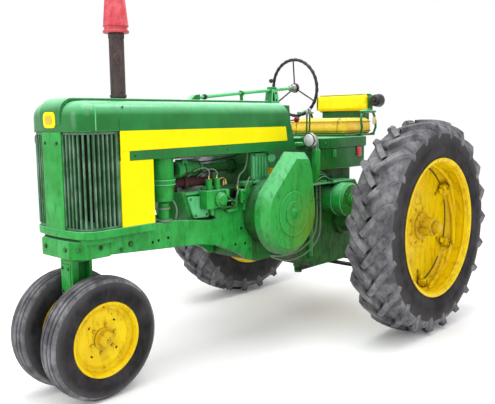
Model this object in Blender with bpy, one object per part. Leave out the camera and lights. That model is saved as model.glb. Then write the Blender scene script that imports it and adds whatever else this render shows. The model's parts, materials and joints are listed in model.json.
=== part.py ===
"""Vintage row-crop tractor with a narrow twin-wheel front end, as separate closed solids.

Units are metres. +Z is up, the front of the tractor faces -Y and its left side is +X.
The origin is on the ground, at the middle of the box round the whole tractor, which the tyres set.
Each moving piece hangs from an empty that stands on its joint's axis.
"""

from math import cos, pi, radians, sin

import bmesh
import bpy
from mathutils import Euler, Matrix, Vector

# Driving dimensions of the chassis and the wheels
WHEELBASE = 2.286
REAR_TYRE_RADIUS = 0.773
REAR_TYRE_WIDTH = 0.330
REAR_WHEEL_X = 0.910
REAR_RIM_RADIUS = 0.483
REAR_BEAD = 0.018
FRONT_TYRE_RADIUS = 0.353
FRONT_TYRE_WIDTH = 0.165
FRONT_WHEEL_X = 0.159
FRONT_RIM_RADIUS = 0.2032
FRONT_BEAD = 0.024
FRONT_CAMBER = radians(2.0)
TYRE_SEGMENTS = 44
RIM_SEGMENTS = 32

# Clearances
SEAT_GAP = 0.0003
PIN_GAP = 0.0006
MOVING_GAP = 0.006

# Places along the tractor, measured from the two axles
REAR_AXLE_Y = (WHEELBASE + FRONT_TYRE_RADIUS - REAR_TYRE_RADIUS) / 2
FRONT_AXLE_Y = REAR_AXLE_Y - WHEELBASE
REAR_AXLE_Z = REAR_TYRE_RADIUS
STEER_AXIS_Y = FRONT_AXLE_Y - 0.032
NOSE_FRONT_Y = FRONT_AXLE_Y - 0.158
NOSE_REAR_Y = NOSE_FRONT_Y + 0.261
PANEL_REAR_Y = NOSE_REAR_Y + 0.230
CASE_FRONT_Y = REAR_AXLE_Y - 1.068
CASE_JOINT_Y = REAR_AXLE_Y - 0.413
CASE_REAR_Y = REAR_AXLE_Y + 0.257

# Sheet metal round the engine
HOOD_HALF_WIDTH = 0.268
HOOD_TOP_Z = 1.692
HOOD_SIDE_TOP_Z = 1.674
HOOD_BAND_HALF = 0.102
HOOD_WALL = 0.006
HOOD_SHOULDER = 0.090
NOSE_CORNER = 0.100
NOSE_BOW = 0.014
NOSE_LIP_Z = 1.508
SKIRT_Z = 1.345
SKIRT_FRONT_Y = NOSE_REAR_Y + 0.065
HOOD_END_TOP_Y = REAR_AXLE_Y - 0.763
HOOD_END_LEAN = 0.110
GRILLE_INSET = 0.009
GRILLE_DEPTH = 0.016
GRILLE_BASE_Z = 0.977
GRILLE_GAP = 0.0155
GRILLE_PITCH = 0.0285
GRILLE_SLOTS = 12
GRILLE_RAIL = 0.014
PANEL_THICKNESS = 0.012
COLUMN_HALF_WIDTH = 0.096
COLUMN_DEPTH = 0.011

# Frame, engine and cases
SILL_BOTTOM_Z = 0.932
PEDESTAL_BOTTOM_Z = 0.815
PEDESTAL_HALF_WIDTH = 0.208
RAIL_OUTER_X = 0.210
RAIL_THICKNESS = 0.045
RAIL_TOP_Z = 0.960
RAIL_WAIST_Z = 0.924
RAIL_FRONT_Y = NOSE_FRONT_Y + 0.216
RAIL_PAD_X = 0.217
RAIL_PAD_Y = -0.250
RAIL_PAD_Z = 0.838
CASE_HALF_WIDTH = 0.200
CASE_TOP_Z = 1.150
BLOCK_TOP_Z = 1.110
HEAD_REAR_Y = CASE_FRONT_Y - 0.463
CRANK_Y = REAR_AXLE_Y - 0.930
CRANK_Z = 0.930
COVER_RADIUS = 0.285
COVER_INNER_X = 0.322
COVER_OUTER_X = 0.465
COVER_CHAMFER = 0.045
COVER_SEAT_RADIUS = 0.225
PULLEY_RADIUS = 0.165
PULLEY_WIDTH = 0.200
PULLEY_OUTER_X = 0.520
CRANK_RADIUS = 0.030
REAR_CASE_HALF_WIDTH = 0.215
REAR_CASE_TOP_Z = 1.060
REAR_CASE_BOTTOM_Z = 0.430
AXLE_SHAFT_RADIUS = 0.042
AXLE_HOUSING_END_X = 0.650
BRAKE_Y = REAR_AXLE_Y - 0.260
BRAKE_Z = 0.960
BRAKE_RADIUS = 0.125
BRAKE_OUTER_X = 0.480

# Under the hood
RADIATOR_FRONT_Y = NOSE_REAR_Y + 0.012
RADIATOR_DEPTH = 0.075
FAN_Y = RADIATOR_FRONT_Y + RADIATOR_DEPTH + 0.040
FAN_Z = 1.240
FAN_RADIUS = 0.190
FAN_TUBE_RADIUS = 0.030
EXHAUST_Y = FAN_Y + 0.070
EXHAUST_RADIUS = 0.044
EXHAUST_TOP_Z = 2.100
CAP_RADIUS = 0.075
CAP_HEIGHT = 0.330
TANK_FRONT_Y = REAR_AXLE_Y - 1.520
TANK_REAR_Y = REAR_AXLE_Y - 0.800
TANK_BOTTOM_Z = 1.420
AIR_CLEANER_X = 0.178
AIR_CLEANER_Y = REAR_AXLE_Y - 1.818
AIR_CLEANER_RADIUS = 0.072

# Steering
STEER_WHEEL_RADIUS = 0.212
STEER_RIM_TUBE = 0.011
STEER_HUB_Y = REAR_AXLE_Y - 0.333
STEER_HUB_Z = 1.797
STEER_SLOPE = radians(4.9)
STEER_SHAFT_RADIUS = 0.011
STEER_SHAFT_LENGTH = 1.020
POST_HALF_WIDTH = 0.060
SPINDLE_RADIUS = 0.022

# Operator's station
PLATFORM_THICKNESS = 0.012
PLATFORM_HALF_WIDTH = 0.390
PLATFORM_FRONT_Y = REAR_AXLE_Y - 0.640
PLATFORM_REAR_Y = REAR_AXLE_Y - 0.080
PEDAL_Y = PLATFORM_FRONT_Y + 0.036
PEDAL_Z = 1.020
PEDAL_ARM_X = CASE_HALF_WIDTH + 0.044
BOX_HALF_WIDTH = 0.310
BOX_FRONT_Y = REAR_AXLE_Y - 0.413
BOX_REAR_Y = REAR_AXLE_Y + 0.170
BOX_BOTTOM_Z = 1.180
BOX_RIM_Z = 1.340
BOX_TOP_Z = 1.420
SEAT_HALF_WIDTH = 0.290
SEAT_FRONT_Y = REAR_AXLE_Y - 0.065
SEAT_REAR_Y = REAR_AXLE_Y + 0.335
SEAT_PLATE = 0.018
CUSHION_HEIGHT = 0.125
BACK_HALF_WIDTH = 0.260
BACK_BOTTOM_Z = 1.620
BACK_TOP_Z = 1.762
BACK_THICKNESS = 0.065
ARM_TUBE_RADIUS = 0.010
ARM_TOP_Z = 1.612
LAMP_Y = REAR_AXLE_Y - 0.590
LAMP_Z = 1.410
LAMP_RADIUS = 0.052

# Hitch
DRAWBAR_Z = 0.380
DRAWBAR_THICKNESS = 0.030
DRAWBAR_PAD = 0.006
DRAWBAR_HALF_WIDTH = 0.032
DRAWBAR_PIVOT_Y = REAR_AXLE_Y - 0.300
DRAWBAR_END_Y = REAR_AXLE_Y + 0.720
DRAWBAR_PIN_RADIUS = 0.016
HITCH_HOLE_RADIUS = 0.0145
HANGER_Y = REAR_AXLE_Y + 0.180
HANGER_SLOT_HALF = 0.235
PTO_Z = 0.620
PTO_RADIUS = 0.01745
PTO_END_Y = CASE_REAR_Y + 0.100

PALETTE = {
    "green_paint": ((0.020, 0.300, 0.060), 0.40, 0.0),
    "yellow_paint": ((0.950, 0.720, 0.010), 0.40, 0.0),
    "tyre_rubber": ((0.060, 0.055, 0.062), 0.85, 0.0),
    "rusty_steel": ((0.110, 0.060, 0.050), 0.80, 0.4),
    "red_plastic": ((0.600, 0.030, 0.045), 0.45, 0.0),
    "dark_steel": ((0.045, 0.047, 0.050), 0.50, 0.8),
    "bare_steel": ((0.450, 0.440, 0.420), 0.35, 1.0),
    "seat_vinyl": ((0.920, 0.660, 0.020), 0.50, 0.0),
    "lamp_chrome": ((0.780, 0.780, 0.800), 0.12, 1.0),
    "black_plastic": ((0.012, 0.012, 0.013), 0.40, 0.0),
}


def clear_scene():
    """Removes every object of the scene that is open."""
    for leftover in list(bpy.data.objects):
        bpy.data.objects.remove(leftover)


def material_of(finish):
    """The Principled material with this name in PALETTE, made on first use."""
    found = bpy.data.materials.get(finish)
    if found:
        return found
    colour, roughness, metallic = PALETTE[finish]
    made = bpy.data.materials.new(finish)
    made.use_nodes = True
    shader = made.node_tree.nodes["Principled BSDF"]
    shader.inputs["Base Color"].default_value = (*colour, 1.0)
    shader.inputs["Roughness"].default_value = roughness
    shader.inputs["Metallic"].default_value = metallic
    return made


def finish_piece(piece, finish):
    """Gives a piece its one material, and smooth shading with crisp edges."""
    piece.data.materials.clear()
    piece.data.materials.append(material_of(finish))
    piece.data.shade_smooth()
    piece.data.set_sharp_from_angle(angle=radians(32))
    return piece


def object_from(name, shape, finish):
    """Turns a bmesh into a linked object, with its faces pointing out."""
    bmesh.ops.recalc_face_normals(shape, faces=shape.faces)
    mesh = bpy.data.meshes.new(name)
    shape.to_mesh(mesh)
    shape.free()
    piece = bpy.data.objects.new(name, mesh)
    bpy.context.scene.collection.objects.link(piece)
    return finish_piece(piece, finish)


def combine(piece, tool, operation):
    """Joins a tool to a piece, or cuts or intersects it, for good, and removes the tool."""
    modifier = piece.modifiers.new(operation.title(), "BOOLEAN")
    modifier.operation = operation
    modifier.solver = "EXACT"
    modifier.object = tool
    bpy.context.view_layer.update()
    evaluated = piece.evaluated_get(bpy.context.evaluated_depsgraph_get())
    result = bpy.data.meshes.new_from_object(evaluated)
    finish = piece.data.materials[0].name
    piece.modifiers.clear()
    piece.data = result
    bpy.data.objects.remove(tool)
    return finish_piece(piece, finish)


def united(piece, *others):
    """The piece with every other shape joined to it."""
    for other in others:
        combine(piece, other, "UNION")
    return piece


def cut(piece, *cutters):
    """The piece with every cutter taken out of it."""
    for cutter in cutters:
        combine(piece, cutter, "DIFFERENCE")
    return piece


def box(name, low, high, finish="green_paint", bevel=0.0, segments=2):
    """A box between two corners, its edges rounded when a bevel is given."""
    shape = bmesh.new()
    size = Vector(high) - Vector(low)
    centre = (Vector(high) + Vector(low)) / 2
    placed = Matrix.Translation(centre) @ Matrix.Diagonal((*size, 1.0))
    bmesh.ops.create_cube(shape, size=1.0, matrix=placed)
    if bevel:
        bmesh.ops.bevel(shape, geom=shape.edges[:], offset=bevel, segments=segments,
                        profile=0.5, affect="EDGES", clamp_overlap=True)
    return object_from(name, shape, finish)


def prism(name, outline, axis, low, high, finish="green_paint", bevel=0.0, segments=2):
    """An outline pushed along an axis. A bevel rounds the edges of its two ends."""
    def point(u, v, along):
        return {"X": (along, u, v), "Y": (u, along, v), "Z": (u, v, along)}[axis]

    shape = bmesh.new()
    bottom = [shape.verts.new(point(u, v, low)) for u, v in outline]
    top = [shape.verts.new(point(u, v, high)) for u, v in outline]
    ends = [shape.faces.new(bottom), shape.faces.new(top)]
    for i in range(len(outline)):
        j = (i + 1) % len(outline)
        shape.faces.new((bottom[i], bottom[j], top[j], top[i]))
    bmesh.ops.recalc_face_normals(shape, faces=shape.faces)
    if bevel:
        edges = list({edge for face in ends for edge in face.edges})
        bmesh.ops.bevel(shape, geom=edges, offset=bevel, segments=segments,
                        profile=0.5, affect="EDGES", clamp_overlap=True)
    return object_from(name, shape, finish)


def turned(name, profile, finish="green_paint", axis="X", centre=(0, 0, 0), segments=24,
           ring=False, turn=0.5, round_out=False):
    """A profile of (radius, along) points turned round an axis through the centre.

    A ring closes its profile on itself. Any other profile is closed by flat ends.
    round_out pushes the points out so that the flats, and not the corners, have the radius.
    """
    frame = {
        "X": (Vector((0, 1, 0)), Vector((0, 0, 1)), Vector((1, 0, 0))),
        "Y": (Vector((1, 0, 0)), Vector((0, 0, 1)), Vector((0, 1, 0))),
        "Z": (Vector((1, 0, 0)), Vector((0, 1, 0)), Vector((0, 0, 1))),
    }[axis]
    stretch = 1 / cos(pi / segments) if round_out else 1.0
    shape = bmesh.new()
    rings = []
    for radius, along in profile:
        loop = []
        for step in range(segments):
            angle = 2 * pi * (step + turn) / segments
            out = frame[0] * cos(angle) + frame[1] * sin(angle)
            loop.append(shape.verts.new(Vector(centre) + out * radius * stretch + frame[2] * along))
        rings.append(loop)
    pairs = list(zip(rings, rings[1:] + rings[:1])) if ring else list(zip(rings, rings[1:]))
    for near, far in pairs:
        for i in range(segments):
            j = (i + 1) % segments
            shape.faces.new((near[i], near[j], far[j], far[i]))
    if not ring:
        shape.faces.new(rings[0])
        shape.faces.new(rings[-1])
    return object_from(name, shape, finish)


def rod(name, start, end, radius, finish="green_paint", segments=20):
    """A plain round rod between two points."""
    start, end = Vector(start), Vector(end)
    shape = bmesh.new()
    lie = (end - start).to_track_quat("Z", "Y").to_matrix().to_4x4()
    placed = Matrix.Translation((start + end) / 2) @ lie
    bmesh.ops.create_cone(shape, cap_ends=True, segments=segments, radius1=radius,
                          radius2=radius, depth=(end - start).length, matrix=placed)
    return object_from(name, shape, finish)


def tube(name, points, radius, finish="green_paint", sides=3, smoothness=4):
    """A smooth round bar through the points, with closed ends."""
    curve = bpy.data.curves.new(name, "CURVE")
    curve.dimensions = "3D"
    curve.bevel_depth = radius
    curve.bevel_resolution = sides
    curve.resolution_u = smoothness
    curve.use_fill_caps = True
    spline = curve.splines.new("BEZIER")
    spline.bezier_points.add(len(points) - 1)
    for knot, place in zip(spline.bezier_points, points):
        knot.co = place
        knot.handle_left_type = "AUTO"
        knot.handle_right_type = "AUTO"
    guide = bpy.data.objects.new(name + "_guide", curve)
    bpy.context.scene.collection.objects.link(guide)
    bpy.context.view_layer.update()
    drawn = guide.evaluated_get(bpy.context.evaluated_depsgraph_get())
    shape = bmesh.new()
    shape.from_mesh(drawn.to_mesh())
    bmesh.ops.remove_doubles(shape, verts=shape.verts, dist=1e-5)
    bpy.data.objects.remove(guide)
    return object_from(name, shape, finish)


def arc(centre, radius, start, end, steps):
    """Points on an arc, from one angle to another in degrees."""
    turns = [radians(start + (end - start) * step / steps) for step in range(steps + 1)]
    return [(centre[0] + radius * cos(turn), centre[1] + radius * sin(turn)) for turn in turns]


def joint(name, place, rotation=(0, 0, 0)):
    """An empty that stands on a joint's axis and carries the moving pieces."""
    empty = bpy.data.objects.new(name, None)
    empty.location = place
    empty.rotation_euler = Euler(rotation)
    empty.empty_display_size = 0.1
    bpy.context.scene.collection.objects.link(empty)
    return empty


def carry(empty, *pieces, keep_place=True):
    """Parents pieces to a joint's empty. Pieces made round the origin move onto the empty."""
    bpy.context.view_layer.update()
    for piece in pieces:
        piece.parent = empty
        if keep_place:
            piece.matrix_parent_inverse = empty.matrix_world.inverted()


def half_name(side):
    """The word for a side: +1 is the tractor's left and -1 its right."""
    return "left" if side > 0 else "right"


# --- sheet metal ------------------------------------------------------------------------------


def nose_outline(inset, rear_y):
    """Plan of the hood and grille: straight sides, round corners and a slightly bowed front."""
    half = HOOD_HALF_WIDTH - inset
    front = NOSE_FRONT_Y + inset
    corner = NOSE_CORNER - inset
    centre = (half - corner, front + NOSE_BOW + corner)
    right_side = arc(centre, corner, 0, -90, 8)
    middle = [((half - corner) * step / 3, front + NOSE_BOW * (step / 3) ** 2) for step in (2, 1, 0)]
    half_plan = [(half, rear_y), *right_side, *middle]
    return half_plan + [(-x, y) for x, y in reversed(half_plan[:-1])]


def hood_solid(name, inset, low, rear_y):
    """A solid with the hood's outer form without its band, set in on every side by the inset."""
    top = HOOD_SIDE_TOP_Z - inset
    body = prism(name, nose_outline(inset, rear_y), "Z", low, top + 1, bevel=0)
    shoulder = HOOD_SHOULDER - inset
    limit = prism("limit", nose_outline(inset, rear_y + 0.5), "Z", low - 0.2, top,
                  bevel=shoulder, segments=5)
    return combine(body, limit, "INTERSECT")


def hood_band():
    """The raised band that rises over the nose and runs back along the middle of the hood."""
    roll = 0.085
    front = NOSE_FRONT_Y - 0.003
    rear = HOOD_END_TOP_Y + 0.3
    low = NOSE_LIP_Z + 0.040
    brow = arc((front + roll, HOOD_TOP_Z - roll), roll, 180, 90, 5)
    base = HOOD_SIDE_TOP_Z - 0.02
    outline = [(front + 0.033, low - 0.012), (front + 0.004, low), (front, low + 0.020), *brow,
               (rear, HOOD_TOP_Z), (rear, base), (front + 0.14, base)]
    return prism("band", outline, "X", -HOOD_BAND_HALF, HOOD_BAND_HALF, bevel=0.007)


def hood_end(offset):
    """The sloping plane that ends the hood, as two (y, z) points from bottom to top."""
    foot = (HOOD_END_TOP_Y + HOOD_END_LEAN - offset, SKIRT_Z)
    head = (HOOD_END_TOP_Y - offset, HOOD_TOP_Z)
    slope = (foot[0] - head[0]) / (head[1] - foot[1])
    return [(foot[0] + slope * 0.5, foot[1] - 0.5), (head[0] - slope * 0.2, head[1] + 0.2)]


def make_hood():
    """The hood: one thin shell with a hole for the exhaust and the front shaft bearings."""
    hood = united(hood_solid("hood", 0.0, SKIRT_Z, HOOD_END_TOP_Y + 0.3), hood_band())
    cut(hood, hood_solid("hollow", HOOD_WALL, SKIRT_Z - 0.1, HOOD_END_TOP_Y + 0.4))
    under_nose = box("under_nose", (-0.5, NOSE_FRONT_Y - 0.1, SKIRT_Z - 0.1),
                     (0.5, SKIRT_FRONT_Y, NOSE_LIP_Z))
    foot, head = hood_end(0.0)
    beyond_end = prism("beyond_end", [foot, head, (head[0] + 1, head[1]), (foot[0] + 1, foot[1])],
                       "X", -0.5, 0.5)
    stack_hole = rod("stack_hole", (0, EXHAUST_Y, HOOD_TOP_Z - 0.1), (0, EXHAUST_Y, HOOD_TOP_Z + 0.1),
                     EXHAUST_RADIUS + MOVING_GAP)
    cap_top = HOOD_TOP_Z - 0.003
    cut(hood, under_nose, beyond_end, stack_hole)
    start = shaft_point(0)
    rear = start.y - STEER_SHAFT_RADIUS * sin(STEER_SLOPE) - SEAT_GAP
    nose_block = prism("nose_block", [(start.y - 0.09, cap_top), (rear, cap_top),
                                      (rear, start.z + 0.02), (start.y - 0.04, start.z + 0.015)],
                       "X", -0.022, 0.022)
    middle = shaft_point(0.42)
    post = box("post", (-0.009, middle.y - 0.007, cap_top), (0.009, middle.y + 0.007, middle.z))
    eye = rod("eye", shaft_point(0.411), shaft_point(0.429), STEER_SHAFT_RADIUS + 0.009)
    united(hood, nose_block, post, eye)
    return cut(hood, shaft_hole("post_hole", 0.38, 0.46))


def make_grille():
    """The wrapped grille: a band round the nose with vertical slots cut through it."""
    rear = NOSE_REAR_Y - SEAT_GAP
    top = NOSE_LIP_Z - SEAT_GAP
    grille = prism("grille", nose_outline(GRILLE_INSET, rear), "Z", GRILLE_BASE_Z + SEAT_GAP, top)
    cut(grille, prism("core", nose_outline(GRILLE_INSET + GRILLE_DEPTH, rear + 0.1), "Z",
                      GRILLE_BASE_Z - 0.1, top + 0.1))
    slots = bmesh.new()
    corner = NOSE_CORNER - GRILLE_INSET
    flat = HOOD_HALF_WIDTH - NOSE_CORNER - COLUMN_HALF_WIDTH
    front = NOSE_FRONT_Y + GRILLE_INSET + NOSE_BOW
    low, high = GRILLE_BASE_Z + GRILLE_RAIL, top - GRILLE_RAIL
    for side in (1, -1):
        for number in range(GRILLE_SLOTS):
            travel = (number + 0.55) * GRILLE_PITCH
            if travel < flat:
                place, facing = Vector((COLUMN_HALF_WIDTH + travel, front, 0)), 0.0
            elif travel < flat + corner * pi / 2:
                facing = (travel - flat) / corner
                centre = Vector((HOOD_HALF_WIDTH - NOSE_CORNER, front + corner, 0))
                place = centre + Vector((sin(facing), -cos(facing), 0)) * corner
            else:
                facing = pi / 2
                back = travel - flat - corner * pi / 2
                place = Vector((HOOD_HALF_WIDTH - GRILLE_INSET, front + corner + back, 0))
            place.z = (low + high) / 2
            lie = Matrix.Rotation(facing, 4, "Z") @ Matrix.Diagonal((GRILLE_GAP, 0.09, high - low, 1))
            flip = Matrix.Diagonal((side, 1, 1, 1))
            bmesh.ops.create_cube(slots, size=1.0, matrix=flip @ Matrix.Translation(place) @ lie)
    return cut(grille, object_from("slots", slots, "green_paint"))


def make_nose_column():
    """The smooth centre strip that stands in front of the grille."""
    low, high = GRILLE_BASE_Z + SEAT_GAP, NOSE_LIP_Z - SEAT_GAP
    outer = prism("nose_column", nose_outline(GRILLE_INSET - COLUMN_DEPTH, NOSE_REAR_Y), "Z", low, high)
    cut(outer, prism("behind", nose_outline(GRILLE_INSET - SEAT_GAP, NOSE_REAR_Y + 0.1), "Z",
                     low - 0.1, high + 0.1))
    keep = box("keep", (-COLUMN_HALF_WIDTH, NOSE_FRONT_Y - 0.1, low - 0.1),
               (COLUMN_HALF_WIDTH, NOSE_FRONT_Y + 0.05, high + 0.1))
    return combine(outer, keep, "INTERSECT")


def make_nose_panel(side):
    """The flat sheet behind the grille: tall at the front, and stepped under the hood's skirt."""
    rear = PANEL_REAR_Y
    step = SKIRT_FRONT_Y - SEAT_GAP
    low, skirt, lip = GRILLE_BASE_Z + SEAT_GAP, SKIRT_Z - SEAT_GAP, NOSE_LIP_Z - SEAT_GAP
    outline = [(NOSE_REAR_Y, low), (rear, low), (rear, skirt), (step, skirt), (step, lip), (NOSE_REAR_Y, lip)]
    outer = HOOD_HALF_WIDTH - 0.001
    return prism(f"nose_panel_{half_name(side)}", outline, "X", side * (outer - PANEL_THICKNESS),
                 side * outer, "yellow_paint")


def make_radiator():
    """The radiator core, a plain block that shows behind the slots."""
    rear = RADIATOR_FRONT_Y + RADIATOR_DEPTH
    half = HOOD_HALF_WIDTH - 0.040
    return box("radiator", (-half, RADIATOR_FRONT_Y, GRILLE_BASE_Z + SEAT_GAP),
               (half, rear, NOSE_LIP_Z + 0.03), "dark_steel", bevel=0.006)


# --- frame, engine and cases ------------------------------------------------------------------


def make_pedestal():
    """The front casting: a chamfered box, the curved sill over it and the socket of the steering post."""
    front = NOSE_FRONT_Y - 0.004
    half = PEDESTAL_HALF_WIDTH
    rear = RAIL_FRONT_Y - SEAT_GAP
    outline = [(half, rear), (half, front + 0.065), (half - 0.068, front),
               (-half + 0.068, front), (-half, front + 0.065), (-half, rear)]
    body = prism("pedestal", outline, "Z", PEDESTAL_BOTTOM_Z, SILL_BOTTOM_Z - 0.012, bevel=0.010)
    sill = prism("sill", nose_outline(0.0, PANEL_REAR_Y), "Z", SILL_BOTTOM_Z, GRILLE_BASE_Z, bevel=0.006)
    neck = prism("neck", nose_outline(0.028, rear), "Z", SILL_BOTTOM_Z - 0.03, SILL_BOTTOM_Z + 0.02)
    rail_end = RAIL_OUTER_X + SEAT_GAP
    rails = box("rails", (-rail_end, rear, SILL_BOTTOM_Z - 0.1),
                (rail_end, PANEL_REAR_Y + 0.1, RAIL_TOP_Z + SEAT_GAP))
    return cut(united(body, neck, sill), rails)


def make_rail(side):
    """A side rail of the frame: waisted, deepened where it meets the case, and with a pad for brackets."""
    joint_y = CASE_FRONT_Y - SEAT_GAP
    under = [(RAIL_FRONT_Y, 0.824), (joint_y - 0.48, 0.781), (joint_y - 0.33, 0.752),
             (joint_y - 0.10, 0.655), (joint_y - 0.05, 0.612), (joint_y, 0.605)]
    above = [(joint_y, 1.050), (joint_y - 0.16, 1.040), (joint_y - 0.25, 0.975),
             (joint_y - 0.32, RAIL_WAIST_Z + 0.008), (joint_y - 0.38, RAIL_WAIST_Z),
             (AIR_CLEANER_Y + 0.060, RAIL_TOP_Z), (RAIL_FRONT_Y, RAIL_TOP_Z)]
    inner = RAIL_OUTER_X - RAIL_THICKNESS
    rail = prism(f"frame_rail_{half_name(side)}", under + above, "X", side * inner, side * RAIL_OUTER_X,
                 bevel=0.004)
    pad_x = sorted((side * (RAIL_OUTER_X - 0.010), side * RAIL_PAD_X))
    pad = box("pad", (pad_x[0], RAIL_PAD_Y - 0.030, RAIL_PAD_Z - 0.022),
              (pad_x[1], RAIL_PAD_Y + 0.030, RAIL_PAD_Z + 0.022))
    return united(rail, pad)


def make_crankcase():
    """The middle case with the tower under the tank, and the shaft end for the belt pulley."""
    front, rear = CASE_FRONT_Y, CASE_JOINT_Y - SEAT_GAP
    top = CASE_TOP_Z
    outline = [(front, 0.610), (front, top - 0.05), (front + 0.04, top), (rear - 0.26, top),
               (rear - 0.235, REAR_CASE_TOP_Z + 0.015), (rear, REAR_CASE_TOP_Z), (rear, 0.500),
               (rear - 0.10, 0.500), (rear - 0.22, 0.580), (front + 0.06, 0.580)]
    half = CASE_HALF_WIDTH
    case = prism("crankcase", outline, "X", -half, half, bevel=0.012)
    tower = box("tower", (-half + 0.015, front + 0.012, top - 0.1),
                (half - 0.015, front + 0.180, TANK_BOTTOM_Z - SEAT_GAP), bevel=0.012)
    beyond_rail = RAIL_OUTER_X + SEAT_GAP
    shaft_end = -(PULLEY_OUTER_X - 0.020)
    for start_x, end_x, radius in ((half - 0.05, beyond_rail + 0.01, 0.128),
                                   (beyond_rail, COVER_INNER_X, COVER_SEAT_RADIUS),
                                   (-half + 0.05, -half - 0.060, 0.075), (-half, shaft_end, CRANK_RADIUS)):
        united(tower, rod("round", (start_x, CRANK_Y, CRANK_Z), (end_x, CRANK_Y, CRANK_Z), radius,
                          segments=32))
    return united(case, tower)


def make_cylinder_block():
    """The two lying cylinders as one plain block between the rails."""
    half = RAIL_OUTER_X - RAIL_THICKNESS - SEAT_GAP
    front, rear = HEAD_REAR_Y + SEAT_GAP, CASE_FRONT_Y - SEAT_GAP
    outline = [(front, 0.800), (rear, 0.700), (rear, BLOCK_TOP_Z), (front, BLOCK_TOP_Z)]
    return prism("cylinder_block", outline, "X", -half, half, bevel=0.008)


def make_cylinder_head():
    """The head at the front of the cylinders, leaning forward at its top."""
    half = RAIL_OUTER_X - RAIL_THICKNESS - SEAT_GAP
    outline = [(HEAD_REAR_Y - 0.020, 0.810), (HEAD_REAR_Y, 0.810), (HEAD_REAR_Y, BLOCK_TOP_Z),
               (HEAD_REAR_Y - 0.126, BLOCK_TOP_Z + 0.006), (HEAD_REAR_Y - 0.072, 0.962),
               (HEAD_REAR_Y - 0.052, 0.900)]
    return prism("cylinder_head", outline, "X", -half, half, bevel=0.008)


def cover_outline(inset):
    """The drop-shaped outline of the flywheel cover, as (y, z) points."""
    radius = COVER_RADIUS - inset
    centre = (CRANK_Y, CRANK_Z)
    top = CRANK_Z + 0.412 - inset
    rear = CRANK_Y + 0.235 - inset
    right = [(rear - 0.060, top - 0.010), (rear - 0.010, top - 0.055), (rear + 0.018, top - 0.150)]
    left = [(CRANK_Y + 0.020 + inset * 0.4, top)]
    return arc(centre, radius, 8, -214, 30) + left + right


def make_flywheel_cover():
    """The drop-shaped cover over the flywheel, chamfered, with two raised rings and a hub."""
    face = COVER_OUTER_X
    wall = prism("flywheel_cover", cover_outline(0.0), "X", COVER_INNER_X + SEAT_GAP, face,
                 bevel=COVER_CHAMFER, segments=1)
    for radius, height in ((0.150, 0.006), (0.085, 0.012), (0.040, 0.018)):
        united(wall, rod("ring", (face - 0.02, CRANK_Y, CRANK_Z), (face + height, CRANK_Y, CRANK_Z),
                         radius, segments=28))
    return wall


def make_transmission_case():
    """The rear case with its rear power shaft boss and the drawbar's pivot pin."""
    front, rear = CASE_JOINT_Y, CASE_REAR_Y
    half = REAR_CASE_HALF_WIDTH
    low, top = REAR_CASE_BOTTOM_Z, REAR_CASE_TOP_Z
    outline = [(front, low + 0.040), (front + 0.04, low), (rear - 0.10, low), (rear, low + 0.070),
               (rear, top - 0.08), (rear - 0.06, top), (front, top)]
    case = prism("transmission_case", outline, "X", -half, half, bevel=0.014)
    boss = rod("boss", (0, rear - 0.02, PTO_Z), (0, rear + 0.020, PTO_Z), 0.055, segments=24)
    pivot_y = DRAWBAR_PIVOT_Y
    above = DRAWBAR_Z + DRAWBAR_THICKNESS / 2 + SEAT_GAP
    below = DRAWBAR_Z - DRAWBAR_THICKNESS / 2 - SEAT_GAP
    pad = rod("pad", (0, pivot_y, low + 0.02), (0, pivot_y, above), 0.040)
    pin = rod("pin", (0, pivot_y, above + 0.02), (0, pivot_y, below - 0.01), DRAWBAR_PIN_RADIUS)
    head = rod("head", (0, pivot_y, below), (0, pivot_y, below - 0.016), 0.030)
    united(case, boss, pad, pin, head)
    bore = rod("pto_bore", (0, rear - 0.04, PTO_Z), (0, rear + 0.05, PTO_Z), PTO_RADIUS + PIN_GAP,
               segments=32)
    return cut(case, bore)


def make_axle_housing(side):
    """The trumpet that carries one rear axle shaft, hollow at its outer end."""
    inner = REAR_CASE_HALF_WIDTH + SEAT_GAP
    end = AXLE_HOUSING_END_X
    bore = AXLE_SHAFT_RADIUS + PIN_GAP
    profile = [(0.130, inner), (0.130, inner + 0.030), (0.108, inner + 0.040), (0.084, inner + 0.140),
               (0.078, end - 0.050), (0.090, end - 0.045), (0.090, end), (bore, end), (bore, end - 0.100)]
    turned_profile = [(radius, side * along) for radius, along in profile]
    return turned(f"axle_housing_{half_name(side)}", turned_profile, centre=(0, REAR_AXLE_Y, REAR_AXLE_Z))


def make_brake_housing(side):
    """The round brake housing on the side of the rear case, in front of the axle."""
    inner = REAR_CASE_HALF_WIDTH + SEAT_GAP
    radius, end = BRAKE_RADIUS, BRAKE_OUTER_X
    profile = [(radius - 0.020, inner), (radius - 0.020, end - 0.110), (radius, end - 0.105),
               (radius, end - 0.016), (radius - 0.014, end), (0.030, end), (0.026, end + 0.014)]
    turned_profile = [(radius, side * along) for radius, along in profile]
    return turned(f"brake_housing_{half_name(side)}", turned_profile, centre=(0, BRAKE_Y, BRAKE_Z))


def make_injection_pump():
    """The fuel pump and governor on the left of the block: a body with two plungers and a round cover."""
    inner = RAIL_OUTER_X - RAIL_THICKNESS + SEAT_GAP
    rear = CASE_FRONT_Y - 0.275
    top = BLOCK_TOP_Z
    body = box("injection_pump", (inner, rear - 0.180, 1.000), (inner + 0.085, rear, top + 0.010),
               bevel=0.008)
    plunger_x = inner + 0.045
    towers = [rod("plunger", (plunger_x, rear - offset, top), (plunger_x, rear - offset, top + 0.080), 0.022)
              for offset in (0.055, 0.125)]
    cover = rod("cover", (inner + 0.05, rear - 0.060, 1.055), (inner + 0.105, rear - 0.060, 1.055), 0.036)
    return united(body, *towers, cover)


# --- under the hood ---------------------------------------------------------------------------


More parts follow.
